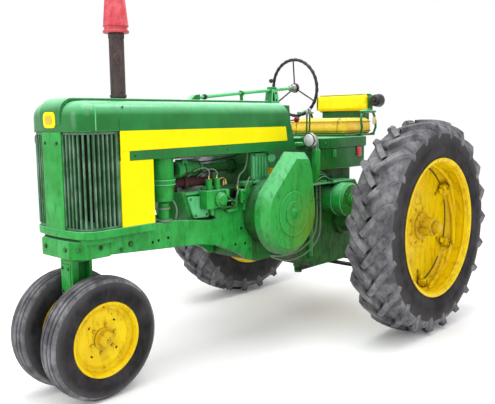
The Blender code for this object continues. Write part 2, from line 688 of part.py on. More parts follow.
def make_exhaust():
    """The stack, and its pipe under the hood that ends on the cylinder head."""
    low = HOOD_TOP_Z - 0.120
    stack = rod("exhaust_pipe", (0, EXHAUST_Y, low), (0, EXHAUST_Y, EXHAUST_TOP_Z), EXHAUST_RADIUS,
                "rusty_steel", segments=28)
    head_y = HEAD_REAR_Y - 0.060
    route = [(0, EXHAUST_Y, low + 0.06), (0, EXHAUST_Y, low - 0.04),
             (-0.035, EXHAUST_Y + 0.07, low - 0.16), (-0.085, EXHAUST_Y + 0.20, 1.270),
             (-0.080, head_y - 0.010, 1.190), (-0.080, head_y, BLOCK_TOP_Z + 0.010)]
    pipe = tube("pipe", route, 0.034, "rusty_steel", sides=4)
    foot = box("foot", (-0.120, head_y - 0.050, BLOCK_TOP_Z + 0.006 + SEAT_GAP),
               (-0.040, head_y + 0.045, BLOCK_TOP_Z + 0.022), "rusty_steel")
    return united(stack, pipe, foot)


def make_exhaust_cap():
    """The red cap that sits over the top of the stack."""
    seat = EXHAUST_TOP_Z + SEAT_GAP
    low = EXHAUST_TOP_Z - 0.030
    inner = EXHAUST_RADIUS + 0.003
    top = low + CAP_HEIGHT
    radius = CAP_RADIUS
    profile = [(inner, seat), (inner, low), (radius, low), (radius, low + 0.014),
               (radius - 0.008, low + 0.020), (radius - 0.008, low + 0.034), (radius - 0.002, low + 0.042),
               (radius - 0.026, top - 0.020), (radius - 0.034, top)]
    return turned("exhaust_cap", profile, "red_plastic", "Z", (0, EXHAUST_Y, 0))


def make_air_cleaner():
    """The tall oil-bath air cleaner on its pipe, which stands on the left rail."""
    base = RAIL_TOP_Z + SEAT_GAP
    radius = AIR_CLEANER_RADIUS
    band = 1.188
    profile = [(0.034, base), (0.034, 1.070), (radius - 0.012, 1.085), (radius - 0.004, band - 0.008),
               (radius + 0.004, band), (radius + 0.004, band + 0.018), (radius - 0.004, band + 0.026),
               (radius - 0.004, 1.400), (0.040, 1.430)]
    return turned("air_cleaner", profile, axis="Z", centre=(AIR_CLEANER_X, AIR_CLEANER_Y, 0))


def make_fan_tube():
    """The tube under the hood that carries the fan's shaft from the tower to the radiator."""
    rear = CASE_FRONT_Y + 0.012 - SEAT_GAP
    front = FAN_Y + 0.034
    radius = FAN_TUBE_RADIUS
    profile = [(0.050, rear), (0.050, rear - 0.030), (radius, rear - 0.040), (radius, front + 0.010),
               (0.022, front), (0.012, front), (0.012, FAN_Y - 0.010)]
    return turned("fan_shaft_tube", profile, axis="Y", centre=(0, 0, FAN_Z), segments=24)


def make_fan():
    """The cooling fan: a hub and four pitched blades."""
    bore = 0.012 + PIN_GAP
    profile = [(0.034, -0.018), (0.034, 0.022), (bore, 0.022), (bore, -0.011)]
    hub = turned("cooling_fan", profile, "dark_steel", "Y", (0, 0, 0), segments=24)
    for number in range(4):
        blade = box("blade", (-0.042, -0.003, 0.028), (0.042, 0.003, FAN_RADIUS), "dark_steel")
        pitch = Matrix.Rotation(radians(24), 4, "Z")
        blade.data.transform(Matrix.Rotation(number * pi / 2, 4, "Y") @ pitch)
        united(hub, blade)
    axis = joint("fan_axis", (0, FAN_Y, FAN_Z))
    carry(axis, hub, keep_place=False)
    return hub


def make_fuel_tank():
    """The tank inside the rear of the hood, standing on the tower."""
    inset = HOOD_WALL + SEAT_GAP
    tank = hood_solid("fuel_tank", inset, TANK_BOTTOM_Z, TANK_REAR_Y)
    keep = box("keep", (-0.5, TANK_FRONT_Y, TANK_BOTTOM_Z - 0.1), (0.5, TANK_REAR_Y + 0.1, HOOD_TOP_Z))
    return combine(tank, keep, "INTERSECT")


# --- steering ---------------------------------------------------------------------------------


def shaft_point(travel):
    """A point on the steering shaft's axis, at this distance from its front end."""
    hub = Vector((0, STEER_HUB_Y, STEER_HUB_Z))
    along = Vector((0, cos(STEER_SLOPE), sin(STEER_SLOPE)))
    return hub + along * (travel - STEER_SHAFT_LENGTH)


def shaft_hole(name, start, end):
    """A cutter that lets the steering shaft turn in its bearing."""
    return rod(name, shaft_point(start), shaft_point(end), STEER_SHAFT_RADIUS + PIN_GAP)


def make_instrument_panel():
    """The panel that closes the hood's rear end, its cowl, and the bracket under the steering shaft."""
    inset = HOOD_WALL + SEAT_GAP
    panel = hood_solid("instrument_panel", inset, SKIRT_Z, HOOD_END_TOP_Y + 0.3)
    foot, head = hood_end(0.004)
    depth = 0.024
    slab = prism("slab", [(foot[0] - depth, foot[1]), foot, head, (head[0] - depth, head[1])], "X", -0.5, 0.5)
    combine(panel, slab, "INTERSECT")
    top = HOOD_SIDE_TOP_Z - HOOD_WALL - 0.002
    rear = HOOD_END_TOP_Y + 0.220
    cowl = prism("cowl", [(HOOD_END_TOP_Y - 0.010, top), (rear, top - 0.004), (rear + 0.012, top - 0.110),
                          (HOOD_END_TOP_Y + 0.075, top - 0.230), (HOOD_END_TOP_Y + 0.040, top - 0.200)],
                 "X", -0.120, 0.120, bevel=0.006)
    axis_z = shaft_point(STEER_SHAFT_LENGTH - 0.280).z
    bracket_top = axis_z + 0.024
    bracket = prism("bracket", [(rear - 0.120, top - 0.03), (rear - 0.010, top - 0.03),
                                (rear - 0.035, bracket_top), (rear - 0.085, bracket_top)],
                    "X", -0.026, 0.026, bevel=0.004)
    united(panel, cowl, bracket)
    return cut(panel, shaft_hole("bracket_hole", STEER_SHAFT_LENGTH - 0.45, STEER_SHAFT_LENGTH - 0.10))


def make_steering_wheel():
    """The steering wheel and its long shaft, which turn together."""
    rim_points = [(STEER_WHEEL_RADIUS + STEER_RIM_TUBE * cos(turn), STEER_RIM_TUBE * sin(turn))
                  for turn in (2 * pi * step / 8 for step in range(8))]
    wheel = turned("steering_wheel", rim_points, "black_plastic", "Y", segments=RIM_SEGMENTS, ring=True)
    hub_profile = [(0.020, -0.030), (0.032, -0.012), (0.032, 0.010), (0.022, 0.022)]
    hub = turned("hub", hub_profile, "black_plastic", "Y", segments=24)
    spokes = []
    for angle in (90, 210, 330):
        turn = radians(angle)
        tip = Vector((cos(turn), 0, sin(turn))) * STEER_WHEEL_RADIUS
        spokes.append(rod("spoke", tip * 0.05, tip, 0.0055, "black_plastic", segments=12))
    united(wheel, hub, *spokes)
    shaft = rod("steering_shaft", (0, -STEER_SHAFT_LENGTH, 0), (0, -0.030 - SEAT_GAP, 0), STEER_SHAFT_RADIUS,
                "bare_steel")
    axis = joint("steering_wheel_axis", (0, STEER_HUB_Y, STEER_HUB_Z), (STEER_SLOPE, 0, 0))
    carry(axis, wheel, shaft, keep_place=False)
    return wheel, shaft


def front_tyre_profile():
    """Half of the front tyre's section as (radius, along) points, from bead to crown."""
    half = FRONT_TYRE_WIDTH / 2
    bead = FRONT_RIM_RADIUS + SEAT_GAP
    radius = FRONT_TYRE_RADIUS
    return [(bead, half - FRONT_BEAD), (bead + 0.018, half - FRONT_BEAD), (bead + 0.060, half),
            (radius - 0.040, half - 0.006), (radius - 0.010, half - 0.030), (radius, half - 0.062)]


def front_axle_height():
    """Height of the front wheels' centres: the leaning tyre's lowest ring touches the ground."""
    lean, upright = sin(FRONT_CAMBER), cos(FRONT_CAMBER)
    return max(along * lean + radius * upright for radius, along in front_tyre_profile())


def ring_section(half_profile):
    """A full tyre section from its outer half."""
    return half_profile + [(radius, -along) for radius, along in reversed(half_profile)]


def make_front_post():
    """The steering post that swings under the pedestal, the knuckle and the two leaning spindles."""
    top = PEDESTAL_BOTTOM_Z - SEAT_GAP
    half = POST_HALF_WIDTH
    axle_z = front_axle_height()
    front = STEER_AXIS_Y - 0.070
    rear = STEER_AXIS_Y + 0.066
    knuckle = FRONT_AXLE_Y + 0.050
    side_outline = [(front, top - 0.004), (rear, top - 0.004), (rear, 0.640), (knuckle, axle_z + 0.090),
                    (knuckle, axle_z - 0.045), (knuckle - 0.100, axle_z - 0.045), (front, 0.560)]
    post = prism("steering_post", side_outline, "X", -half, half, bevel=0.008)
    narrow = half - 0.022
    for side in (1, -1):
        beyond = side * half * 1.5
        slope = prism("slope", [(beyond, 0.650), (side * (half + 0.001), 0.650), (side * narrow, 0.560),
                                (side * narrow, 0.200), (beyond, 0.200)], "Y", front - 0.1, rear + 0.2)
        cut(post, slope)
        cut(post, box("pocket", (side * 0.012, STEER_AXIS_Y - 0.030, 0.665),
                      (side * (half + 0.05), STEER_AXIS_Y + 0.045, top - 0.035)))
    united(post, rod("flange", (0, STEER_AXIS_Y, top - 0.020), (0, STEER_AXIS_Y, top), 0.085, segments=24))
    for side in (1, -1):
        hub = Matrix.Translation((side * FRONT_WHEEL_X, FRONT_AXLE_Y, axle_z))
        lean = hub @ Matrix.Rotation(side * FRONT_CAMBER, 4, "Y")
        start = lean @ Vector((side * -(FRONT_WHEEL_X - 0.010), 0, 0))
        end = lean @ Vector((side * 0.040, 0, 0))
        united(post, rod("spindle", start, end, SPINDLE_RADIUS, segments=20))
    axis = joint("steering_axis", (0, STEER_AXIS_Y, PEDESTAL_BOTTOM_Z))
    carry(axis, post)
    return axis


def make_front_wheel(side, steering_axis):
    """One front tyre on its pressed wheel, leaning out at the top, free on its spindle."""
    name = half_name(side)
    bead = FRONT_RIM_RADIUS
    bore = SPINDLE_RADIUS + PIN_GAP
    seat = FRONT_TYRE_WIDTH / 2 - FRONT_BEAD + SEAT_GAP
    flange = bead + 0.016
    profile = [(bore, 0.042), (bore, -0.060), (0.046, -0.060), (0.046, -0.010), (0.160, 0.012),
               (0.172, -0.020), (bead - 0.010, -seat), (flange, -seat - 0.010), (flange, -seat),
               (bead, -seat), (bead, seat), (flange, seat), (flange, seat + 0.010), (bead - 0.010, seat),
               (bead - 0.020, 0.024), (0.164, 0.026), (0.075, 0.020), (0.052, 0.032), (0.048, 0.060),
               (0.030, 0.070)]
    wheel_profile = [(radius, side * along) for radius, along in profile]
    wheel = turned(f"front_wheel_{name}", wheel_profile, "yellow_paint", segments=RIM_SEGMENTS - 8)
    tyre = turned(f"front_tyre_{name}", ring_section(front_tyre_profile()), "tyre_rubber",
                  segments=TYRE_SEGMENTS, ring=True, round_out=True)
    place = (side * FRONT_WHEEL_X, FRONT_AXLE_Y, front_axle_height())
    axis = joint(f"front_wheel_{name}_axis", place, (0, side * FRONT_CAMBER, 0))
    carry(axis, wheel, tyre, keep_place=False)
    carry(steering_axis, axis)


# --- rear wheels ------------------------------------------------------------------------------


def rear_tyre_profile():
    """Half of the rear tyre's section as (radius, along) points, out to the tips of the lugs."""
    half = REAR_TYRE_WIDTH / 2
    bead = REAR_RIM_RADIUS + SEAT_GAP
    radius = REAR_TYRE_RADIUS
    return [(bead, half - REAR_BEAD), (bead + 0.020, half - REAR_BEAD), (bead + 0.090, half),
            (radius - 0.060, half - 0.003), (radius - 0.020, half - 0.014), (radius, half - 0.100)]


def make_rear_wheel(side):
    """One rear wheel: tyre, rim with its dished disc, and the axle shaft that turns with it."""
    name = half_name(side)
    rim = REAR_RIM_RADIUS
    seat = REAR_TYRE_WIDTH / 2 - REAR_BEAD + SEAT_GAP
    bore = AXLE_SHAFT_RADIUS + SEAT_GAP
    flange, well = rim + 0.020, rim - 0.010
    profile = [(bore, -0.060), (0.108, -0.060), (0.250, -0.058), (0.380, -0.062), (rim - 0.020, -0.052),
               (well, -0.080), (well, -seat), (flange, -seat - 0.012), (flange, -seat), (rim, -seat),
               (rim, seat), (flange, seat), (flange, seat + 0.012), (well, seat), (well, 0.020),
               (0.440, -0.036), (0.250, -0.038), (0.150, -0.020), (0.110, 0.020), (0.080, 0.110),
               (bore, 0.110)]
    wheel_profile = [(radius, side * along) for radius, along in profile]
    wheel = turned(f"rear_wheel_{name}", wheel_profile, "yellow_paint", segments=RIM_SEGMENTS, ring=True)
    tyre = turned(f"rear_tyre_{name}", ring_section(rear_tyre_profile()), "tyre_rubber",
                  segments=TYRE_SEGMENTS, ring=True, round_out=True)
    inner = AXLE_HOUSING_END_X - 0.095 - REAR_WHEEL_X
    radius = AXLE_SHAFT_RADIUS
    shaft_profile = [(radius, side * inner), (radius, side * 0.145), (radius - 0.006, side * 0.151)]
    shaft = turned(f"rear_axle_{name}", shaft_profile, "bare_steel", segments=32)
    axis = joint(f"rear_wheel_{name}_axis", (side * REAR_WHEEL_X, REAR_AXLE_Y, REAR_AXLE_Z))
    carry(axis, wheel, tyre, shaft, keep_place=False)


# --- belt pulley, hitch and power shaft -------------------------------------------------------


def make_belt_pulley():
    """The belt pulley on the right end of the crankshaft."""
    bore = CRANK_RADIUS + PIN_GAP
    half = PULLEY_WIDTH / 2
    rim = PULLEY_RADIUS
    profile = [(bore, half - 0.016), (bore, -half), (0.060, -half), (0.060, half - 0.085),
               (rim - 0.014, half - 0.065), (rim - 0.014, -half), (rim - 0.003, -half), (rim, 0.0),
               (rim - 0.003, half), (rim - 0.014, half), (rim - 0.018, half - 0.045),
               (0.080, half - 0.055), (0.070, half - 0.010), (0.050, half + 0.004)]
    mirrored = [(radius, -along) for radius, along in profile]
    pulley = turned("belt_pulley", mirrored, "green_paint", segments=RIM_SEGMENTS)
    axis = joint("belt_pulley_axis", (-(PULLEY_OUTER_X - half), CRANK_Y, CRANK_Z))
    carry(axis, pulley, keep_place=False)


def make_drawbar():
    """The drawbar that swings on its pin under the rear case, with a wear pad at its hitch end."""
    half = DRAWBAR_HALF_WIDTH
    outline = [(half, DRAWBAR_PIVOT_Y), (half, DRAWBAR_END_Y - half)]
    outline += arc((0, DRAWBAR_END_Y - half), half, 0, 180, 10)[1:]
    outline += arc((0, DRAWBAR_PIVOT_Y), half, 180, 360, 10)[:-1]
    low, high = DRAWBAR_Z - DRAWBAR_THICKNESS / 2, DRAWBAR_Z + DRAWBAR_THICKNESS / 2
    bar = prism("drawbar", outline, "Z", low, high, "dark_steel")
    pad_half = half - 0.003
    pad = [(-pad_half, DRAWBAR_END_Y - 0.200), (pad_half, DRAWBAR_END_Y - 0.200)]
    pad += arc((0, DRAWBAR_END_Y - half), pad_half, 0, 180, 10)
    united(bar, prism("pad", pad, "Z", high - 0.010, high + DRAWBAR_PAD, "dark_steel"))
    pivot = (DRAWBAR_PIVOT_Y, DRAWBAR_PIN_RADIUS + PIN_GAP)
    hitch = (DRAWBAR_END_Y - half, HITCH_HOLE_RADIUS)
    for place_y, radius in (pivot, hitch):
        cut(bar, rod("hole", (0, place_y, low - 0.1), (0, place_y, high + 0.1), radius))
    axis = joint("drawbar_axis", (0, DRAWBAR_PIVOT_Y, DRAWBAR_Z))
    carry(axis, bar)


def make_drawbar_hanger():
    """The slotted frame under the rear case that the drawbar swings in."""
    slot_low = DRAWBAR_Z - DRAWBAR_THICKNESS / 2 - MOVING_GAP
    slot_high = DRAWBAR_Z + DRAWBAR_THICKNESS / 2 + MOVING_GAP
    outer = HANGER_SLOT_HALF + 0.025
    front, rear = HANGER_Y - 0.030, HANGER_Y + 0.030
    hanger = box("drawbar_hanger", (-outer, front, slot_low - 0.020), (outer, rear, slot_high + 0.016),
                 "dark_steel", bevel=0.004)
    cheek = box("cheek", (-0.150, front, slot_high + 0.006), (0.150, rear, REAR_CASE_BOTTOM_Z - SEAT_GAP),
                "dark_steel")
    united(hanger, cheek)
    return cut(hanger, box("slot", (-HANGER_SLOT_HALF, front - 0.1, slot_low),
                           (HANGER_SLOT_HALF, rear + 0.1, slot_high)))


def make_pto_shaft():
    """The rear power shaft, free to turn in its boss."""
    start = CASE_REAR_Y - 0.036
    shaft = rod("pto_shaft", (0, start, PTO_Z), (0, PTO_END_Y, PTO_Z), PTO_RADIUS, "bare_steel", segments=32)
    axis = joint("pto_axis", (0, PTO_END_Y, PTO_Z))
    carry(axis, shaft)


# --- operator's station -----------------------------------------------------------------------


def platform_low():
    """The height of the platform's underside, which lies on the brake housings."""
    return BRAKE_Z + BRAKE_RADIUS + SEAT_GAP


def make_platform():
    """The floor with a notch for the seat's pedestal and a stiffening lip in front."""
    low = platform_low()
    half, notch = PLATFORM_HALF_WIDTH, 0.175
    front, rear = PLATFORM_FRONT_Y, PLATFORM_REAR_Y
    outline = [(half, front), (half, rear), (notch, rear), (notch, BOX_FRONT_Y + 0.085),
               (-notch, BOX_FRONT_Y + 0.085), (-notch, rear), (-half, rear), (-half, front)]
    floor = prism("platform", outline, "Z", low, low + PLATFORM_THICKNESS)
    lip = box("lip", (-half, front, low - 0.010), (half, front + 0.012, low + 0.004))
    united(floor, lip)
    for side in (1, -1):
        arm_x = side * PEDAL_ARM_X
        cut(floor, box("pedal_notch", (arm_x - 0.020, front - 0.1, low - 0.1),
                       (arm_x + 0.020, PEDAL_Y + 0.022, low + 0.1)))
    return floor


def make_seat_pedestal():
    """The casting on the rear case that carries the box under the seat."""
    return box("seat_pedestal", (-0.160, BOX_FRONT_Y + 0.100, REAR_CASE_TOP_Z + SEAT_GAP),
               (0.160, CASE_REAR_Y - 0.065, BOX_BOTTOM_Z - SEAT_GAP), bevel=0.012)


def make_battery_box():
    """The wide box under the seat, with a deeper rim round its top."""
    half = BOX_HALF_WIDTH
    front, rear, flange = BOX_FRONT_Y, BOX_REAR_Y, 0.012
    body = box("battery_box", (-half, front, BOX_BOTTOM_Z), (half, rear, BOX_TOP_Z - 0.01), bevel=0.008)
    rim = box("rim", (-half - flange, front - flange, BOX_RIM_Z), (half + flange, rear + flange, BOX_TOP_Z),
              bevel=0.010)
    return united(body, rim)


def make_seat_frame():
    """The seat's plate, its back plate and the two armrest loops."""
    low = BOX_TOP_Z + SEAT_GAP
    half = SEAT_HALF_WIDTH
    plate = box("seat_frame", (-half, SEAT_FRONT_Y, low), (half, SEAT_REAR_Y + 0.020, low + SEAT_PLATE),
                bevel=0.004)
    back = box("back", (-0.190, SEAT_REAR_Y + 0.004, low + 0.004),
               (0.190, SEAT_REAR_Y + 0.018, BACK_TOP_Z - 0.030), bevel=0.003)
    united(plate, back)
    loop_x = half + 0.026
    front, rear = SEAT_REAR_Y - 0.225, SEAT_REAR_Y - 0.035
    foot, crown = low + 0.012, ARM_TOP_Z
    for side in (1, -1):
        root_x, leg_x, outer_x = side * (half - 0.005), side * (loop_x - 0.004), side * loop_x
        route = [(root_x, front, foot), (leg_x, front, foot + 0.010), (outer_x, front, crown - 0.035),
                 (outer_x, front + 0.035, crown), (outer_x, rear - 0.035, crown),
                 (outer_x, rear, crown - 0.035), (leg_x, rear, foot + 0.010), (root_x, rear, foot)]
        united(plate, tube("arm", route, ARM_TUBE_RADIUS, sides=2, smoothness=3))
    return plate


def make_cushions():
    """The plain solids of the seat cushion and the back pad."""
    seat_low = BOX_TOP_Z + SEAT_PLATE + 2 * SEAT_GAP
    half = SEAT_HALF_WIDTH - 0.006
    rear = SEAT_REAR_Y + 0.004 - SEAT_GAP
    box("seat_cushion", (-half, SEAT_FRONT_Y, seat_low), (half, rear - 0.010, seat_low + CUSHION_HEIGHT),
        "seat_vinyl", bevel=0.022, segments=3)
    half = BACK_HALF_WIDTH
    box("seat_back", (-half, rear - BACK_THICKNESS, BACK_BOTTOM_Z), (half, rear, BACK_TOP_Z), "seat_vinyl",
        bevel=0.022, segments=3)


def make_headlight(side):
    """A round lamp on its post, which stands on the platform."""
    name = half_name(side)
    foot = platform_low() + PLATFORM_THICKNESS + SEAT_GAP
    x = side * (PLATFORM_HALF_WIDTH - 0.035)
    radius = LAMP_RADIUS
    profile = [(radius - 0.006, -0.030), (radius, -0.022), (radius, -0.006), (radius - 0.006, 0.004),
               (radius - 0.016, 0.034), (0.018, 0.060), (0.008, 0.064)]
    lamp = turned(f"headlight_{name}", profile, "lamp_chrome", "Y", (x, LAMP_Y, LAMP_Z))
    base = box("base", (x - 0.030, LAMP_Y + 0.026, foot), (x + 0.030, LAMP_Y + 0.080, foot + 0.010),
               "lamp_chrome")
    post = box("post", (x - 0.018, LAMP_Y + 0.032, foot + 0.005),
               (x + 0.018, LAMP_Y + 0.050, LAMP_Z), "lamp_chrome")
    return united(lamp, post, base)


def make_brake_pedal(side):
    """A brake pedal on the side of the middle case, rising through the platform's notch."""
    x = side * (CASE_HALF_WIDTH + SEAT_GAP)
    arm_x = side * PEDAL_ARM_X
    boss = rod(f"brake_pedal_{half_name(side)}", (x, PEDAL_Y, PEDAL_Z),
               (arm_x + side * 0.014, PEDAL_Y, PEDAL_Z), 0.022, "dark_steel")
    top = PEDAL_Z + 0.200
    arm = box("arm", (arm_x - 0.008, PEDAL_Y - 0.010, PEDAL_Z),
              (arm_x + 0.008, PEDAL_Y + 0.010, top), "dark_steel")
    pad = box("pad", (arm_x - 0.040, PEDAL_Y - 0.034, top - 0.006),
              (arm_x + 0.040, PEDAL_Y + 0.034, top + 0.008),
              "dark_steel", bevel=0.004)
    return united(boss, arm, pad)


def main():
    """Builds every piece of the tractor."""
    clear_scene()
    make_hood()
    make_grille()
    make_nose_column()
    make_radiator()
    make_pedestal()
    make_crankcase()
    make_cylinder_block()
    make_cylinder_head()
    make_flywheel_cover()
    make_transmission_case()
    make_injection_pump()
    make_exhaust()
    make_exhaust_cap()
    make_air_cleaner()
    make_fan_tube()
    make_fan()
    make_fuel_tank()
    make_instrument_panel()
    make_steering_wheel()
    steering_axis = make_front_post()
    make_belt_pulley()
    make_drawbar()
    make_drawbar_hanger()
    make_pto_shaft()
    make_platform()
    make_seat_pedestal()
    make_battery_box()
    make_seat_frame()
    make_cushions()
    for side in (1, -1):
        make_nose_panel(side)
        make_rail(side)
        make_axle_housing(side)
        make_brake_housing(side)
        make_front_wheel(side, steering_axis)
        make_rear_wheel(side)
        make_headlight(side)
        make_brake_pedal(side)


main()
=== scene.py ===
"""Finished look of a vintage row-crop tractor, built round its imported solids.

Units are metres. +Z is up, the front of the tractor faces -Y and its left side is +X.
Each sub-assembly is a class that holds its sizes, makes its meshes and dresses them.
"""

import json
import logging
from dataclasses import dataclass, field, replace
from enum import Enum
from math import atan2, cos, pi, radians, sin
from typing import Iterable, Sequence

import bmesh
import bpy
from mathutils import Matrix, Vector


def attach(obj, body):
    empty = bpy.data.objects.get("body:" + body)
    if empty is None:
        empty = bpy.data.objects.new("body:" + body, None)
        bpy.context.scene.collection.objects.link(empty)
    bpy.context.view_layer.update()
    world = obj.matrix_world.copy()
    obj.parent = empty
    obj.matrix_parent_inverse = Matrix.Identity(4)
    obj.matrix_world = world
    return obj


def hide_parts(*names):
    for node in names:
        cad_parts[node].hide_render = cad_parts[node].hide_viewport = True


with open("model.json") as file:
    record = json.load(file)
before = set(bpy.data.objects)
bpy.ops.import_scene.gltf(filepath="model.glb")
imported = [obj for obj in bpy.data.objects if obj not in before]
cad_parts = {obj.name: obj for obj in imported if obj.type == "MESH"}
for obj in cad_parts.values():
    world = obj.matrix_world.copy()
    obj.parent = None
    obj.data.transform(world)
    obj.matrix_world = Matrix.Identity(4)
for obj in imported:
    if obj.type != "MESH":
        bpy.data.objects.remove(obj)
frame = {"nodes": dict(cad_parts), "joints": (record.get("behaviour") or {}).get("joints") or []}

Colour = Spot = tuple[float, float, float]
Point = Sequence[float]
Outline = list[tuple[float, float]]
Socket = bpy.types.NodeSocket
Thing = bpy.types.Object

X, Y, Z, FORWARD = (1, 0, 0), (0, 1, 0), (0, 0, 1), (0, -1, 0)

logging.basicConfig(level=logging.INFO, format="%(name)s: %(message)s")
LOG = logging.getLogger("tractor")


class Axis(Enum):
    """A direction of the tractor's frame."""

    X = 0
    Y = 1
    Z = 2


class Side(Enum):
    """A side of the tractor; the value is the sign of its X."""

    LEFT = 1
    RIGHT = -1

    @property
    def word(self) -> str:
        """The side's name as the bodies and nodes spell it."""
        return self.name.lower()

    @property
    def out(self) -> tuple[int, int, int]:
        """The direction out of this side."""
        return (self.value, 0, 0)

    def __mul__(self, value: float) -> float:
        """A distance from the middle, as X on this side."""
        return self.value * value

    def span(self, near: float, far: float) -> list[float]:
        """Two distances from the middle, as X on this side, the lower one first."""
        return sorted((self * near, self * far))


# --- finishes ---


@dataclass
class Nodes:
    """A material's node tree, with the few nodes that a finish is made of."""

    tree: bpy.types.NodeTree

    def add(self, kind: str, inputs: dict[str | int, object],
            **settings: object) -> bpy.types.Node:
        """Adds a node.

        Args:
            kind: The node's type, without its common start.
            inputs: A value for each named input, or the socket that it is linked to.
            settings: Properties of the node.

        Returns:
            The node.
        """
        made = self.tree.nodes.new(f"ShaderNode{kind}")
        for name, value in settings.items():
            setattr(made, name, value)
        for name, value in inputs.items():
            if isinstance(value, Socket):
                self.tree.links.new(value, made.inputs[name])
            else:
                made.inputs[name].default_value = value
        return made

    def noise(self, place: Socket, scale: float, detail: float, stretch: Point = (1, 1,
            1)) -> Socket:
        """A noise value over the object coordinates.

        Args:
            place: The object coordinates.
            scale: Waves per metre.
            detail: Octaves of detail.
            stretch: Scale of each coordinate.

        Returns:
            The socket with the noise from 0 to 1.
        """
        shift = self.add("Mapping", {"Scale": stretch, "Vector": place})
        return self.add("TexNoise", {"Scale": scale, "Detail": detail, "Roughness": 0.6,
            "Vector": shift.outputs["Vector"]}).outputs["Fac"]

    def ramp(self, value: Socket, low: float, high: float, top: float) -> Socket:
        """Maps a value from low..high to 0..top, clamped.

        Args:
            value: The socket to map.
            low: The value that gives 0.
            high: The value that gives the top.
            top: The largest result.

        Returns:
            The mapped socket.
        """
        return self.add("MapRange", {"From Min": low, "From Max": high, "To Max": top,
            "Value": value}).outputs["Result"]

    def mix(self, share: Socket, below: Socket | Colour, above: Colour) -> Socket:
        """Lays one colour over another.

        Args:
            share: How much of the upper colour shows.
            below: A colour or a socket.
            above: A colour.

        Returns:
            The mixed colour.
        """
        below = below if isinstance(below, Socket) else (*below, 1.0)
        return self.add("Mix", {"Factor": share, 6: below, 7: (*above, 1.0)},
            data_type="RGBA").outputs[2]


@dataclass(frozen=True)
class Finish:
    """A weathered surface finish, made once as a node material.

    Two tones of the same coating blend in soft patches, and grime gathers in streaks.
    The hollows take grime and painted shade, faces that point down take painted shade,
    faces that point up take a painted highlight, and small flecks show what lies under the
    coating.
    """

    name: str
    tone: Colour
    faded: Colour
    slot: str = "green_paint"
    # Colour of the streaked grime, also used for the painted shade in hollows and on faces that
    # point down.
    grime: Colour = (0.03, 0.026, 0.018)
    fleck: Colour = (0.1, 0.07, 0.05)
    roughness: float = 0.35
    metallic: float = 0.0
    coat: float = 0.0
    fading: float = 0.5
    patch: float = 4.0
    dirt: float = 0.35
    # How strongly grime and painted shade darken the hollows.
    hollow: float = 0.6
    flecks: float = 0.0
    fleck_size: float = 90.0
    bump: float = 0.15
    grain: float = 260.0
    sheen: float = 0.35
    crevice: float = 0.035
    # Colour and share of a painted highlight on faces that point up.
    sunned: Colour = (0.19, 0.6, 0.31)
    sun: float = 0.0
    # Share of painted shade on faces that point down.
    soot: float = 0.0
    hub: tuple[float, float] = (0.0, 0.0)
    fade: tuple[float, float] = (0.0, 0.0)
    outer: Colour = (0.085, 0.083, 0.088)

    def material(self) -> bpy.types.Material:
        """The material of this finish, made on first use."""
        return bpy.data.materials.get(self.name) or self._make()

    def _make(self) -> bpy.types.Material:
        """Builds the node tree.

        Returns:
            The material.
        """
        made = bpy.data.materials.new(self.name)
        made.use_nodes = True
        tree, nodes = made.node_tree, Nodes(made.node_tree)
        shader = tree.nodes["Principled BSDF"]
        for socket, value in (("Metallic", self.metallic), ("Coat Weight", self.coat),
                ("Specular IOR Level", self.sheen), ("Coat Roughness", 0.08)):
            shader.inputs[socket].default_value = value
        place = nodes.add("TexCoord", {}).outputs["Object"]
        patches = nodes.noise(place, self.patch, 5.0)
        colour = nodes.mix(nodes.ramp(patches, 0.38, 0.66, self.fading), self.tone, self.faded)
        if any(self.fade):
            away = nodes.add("Mapping", {"Scale": (0, 1, 1), "Location": (0, -self.hub[0],
                -self.hub[1]), "Vector": place})
            reach = nodes.add("VectorMath", {0: away.outputs["Vector"]}, operation="LENGTH")
            colour = nodes.mix(nodes.ramp(reach.outputs["Value"], *self.fade, 0.9), colour,
                self.outer)
        # Painted highlight: faces that point up are lightened towards a pale colour.
        if self.sun:
            normal = nodes.add("NewGeometry", {}).outputs["Normal"]
            up = nodes.add("SeparateXYZ", {0: normal}).outputs["Z"]
            colour = nodes.mix(nodes.ramp(up, 0.15, 0.95, self.sun), colour, self.sunned)
            # Painted shade: faces that point down are darkened towards the grime colour.
            colour = nodes.mix(nodes.ramp(up, -0.15, -0.9, self.soot), colour, self.grime)
        smears = nodes.noise(place, self.patch * 4.5, 7.0, (1.0, 1.0, 0.35))
        colour = nodes.mix(nodes.ramp(smears, 0.5, 0.78, self.dirt), colour, self.grime)
        # Painted shade, partly grime: ambient occlusion darkens hollows and creases towards the
        # grime colour.
        if self.hollow:
            shade = nodes.add("AmbientOcclusion", {"Distance": self.crevice}, samples=4)
            crevice = nodes.ramp(shade.outputs["AO"], 0.8, 0.3, self.hollow)
            colour = nodes.mix(crevice, colour, self.grime)
        if self.flecks:
            chips = nodes.noise(place, self.fleck_size, 3.0)
            edge = 0.74 - 0.1 * self.flecks
            colour = nodes.mix(nodes.ramp(chips, edge, edge + 0.03, 1.0), colour, self.fleck)
        wear = nodes.add("MapRange", {"From Min": 0.3, "From Max": 0.75, "To Min": max(0.05,
            self.roughness - 0.08), "To Max": min(1.0, self.roughness + 0.22), "Value": smears})
        grain = nodes.add("Bump", {"Strength": self.bump, "Distance": 0.0012,
            "Height": nodes.noise(place, self.grain, 3.0)})
        wave = nodes.add("Bump", {"Strength": min(1.0, self.bump * 1.2), "Distance": 0.003,
            "Height": smears, "Normal": grain.outputs["Normal"]})
        for socket, value in (("Base Color", colour), ("Roughness", wear.outputs["Result"]),
                ("Normal", wave.outputs["Normal"])):
            tree.links.new(value, shader.inputs[socket])
        return made


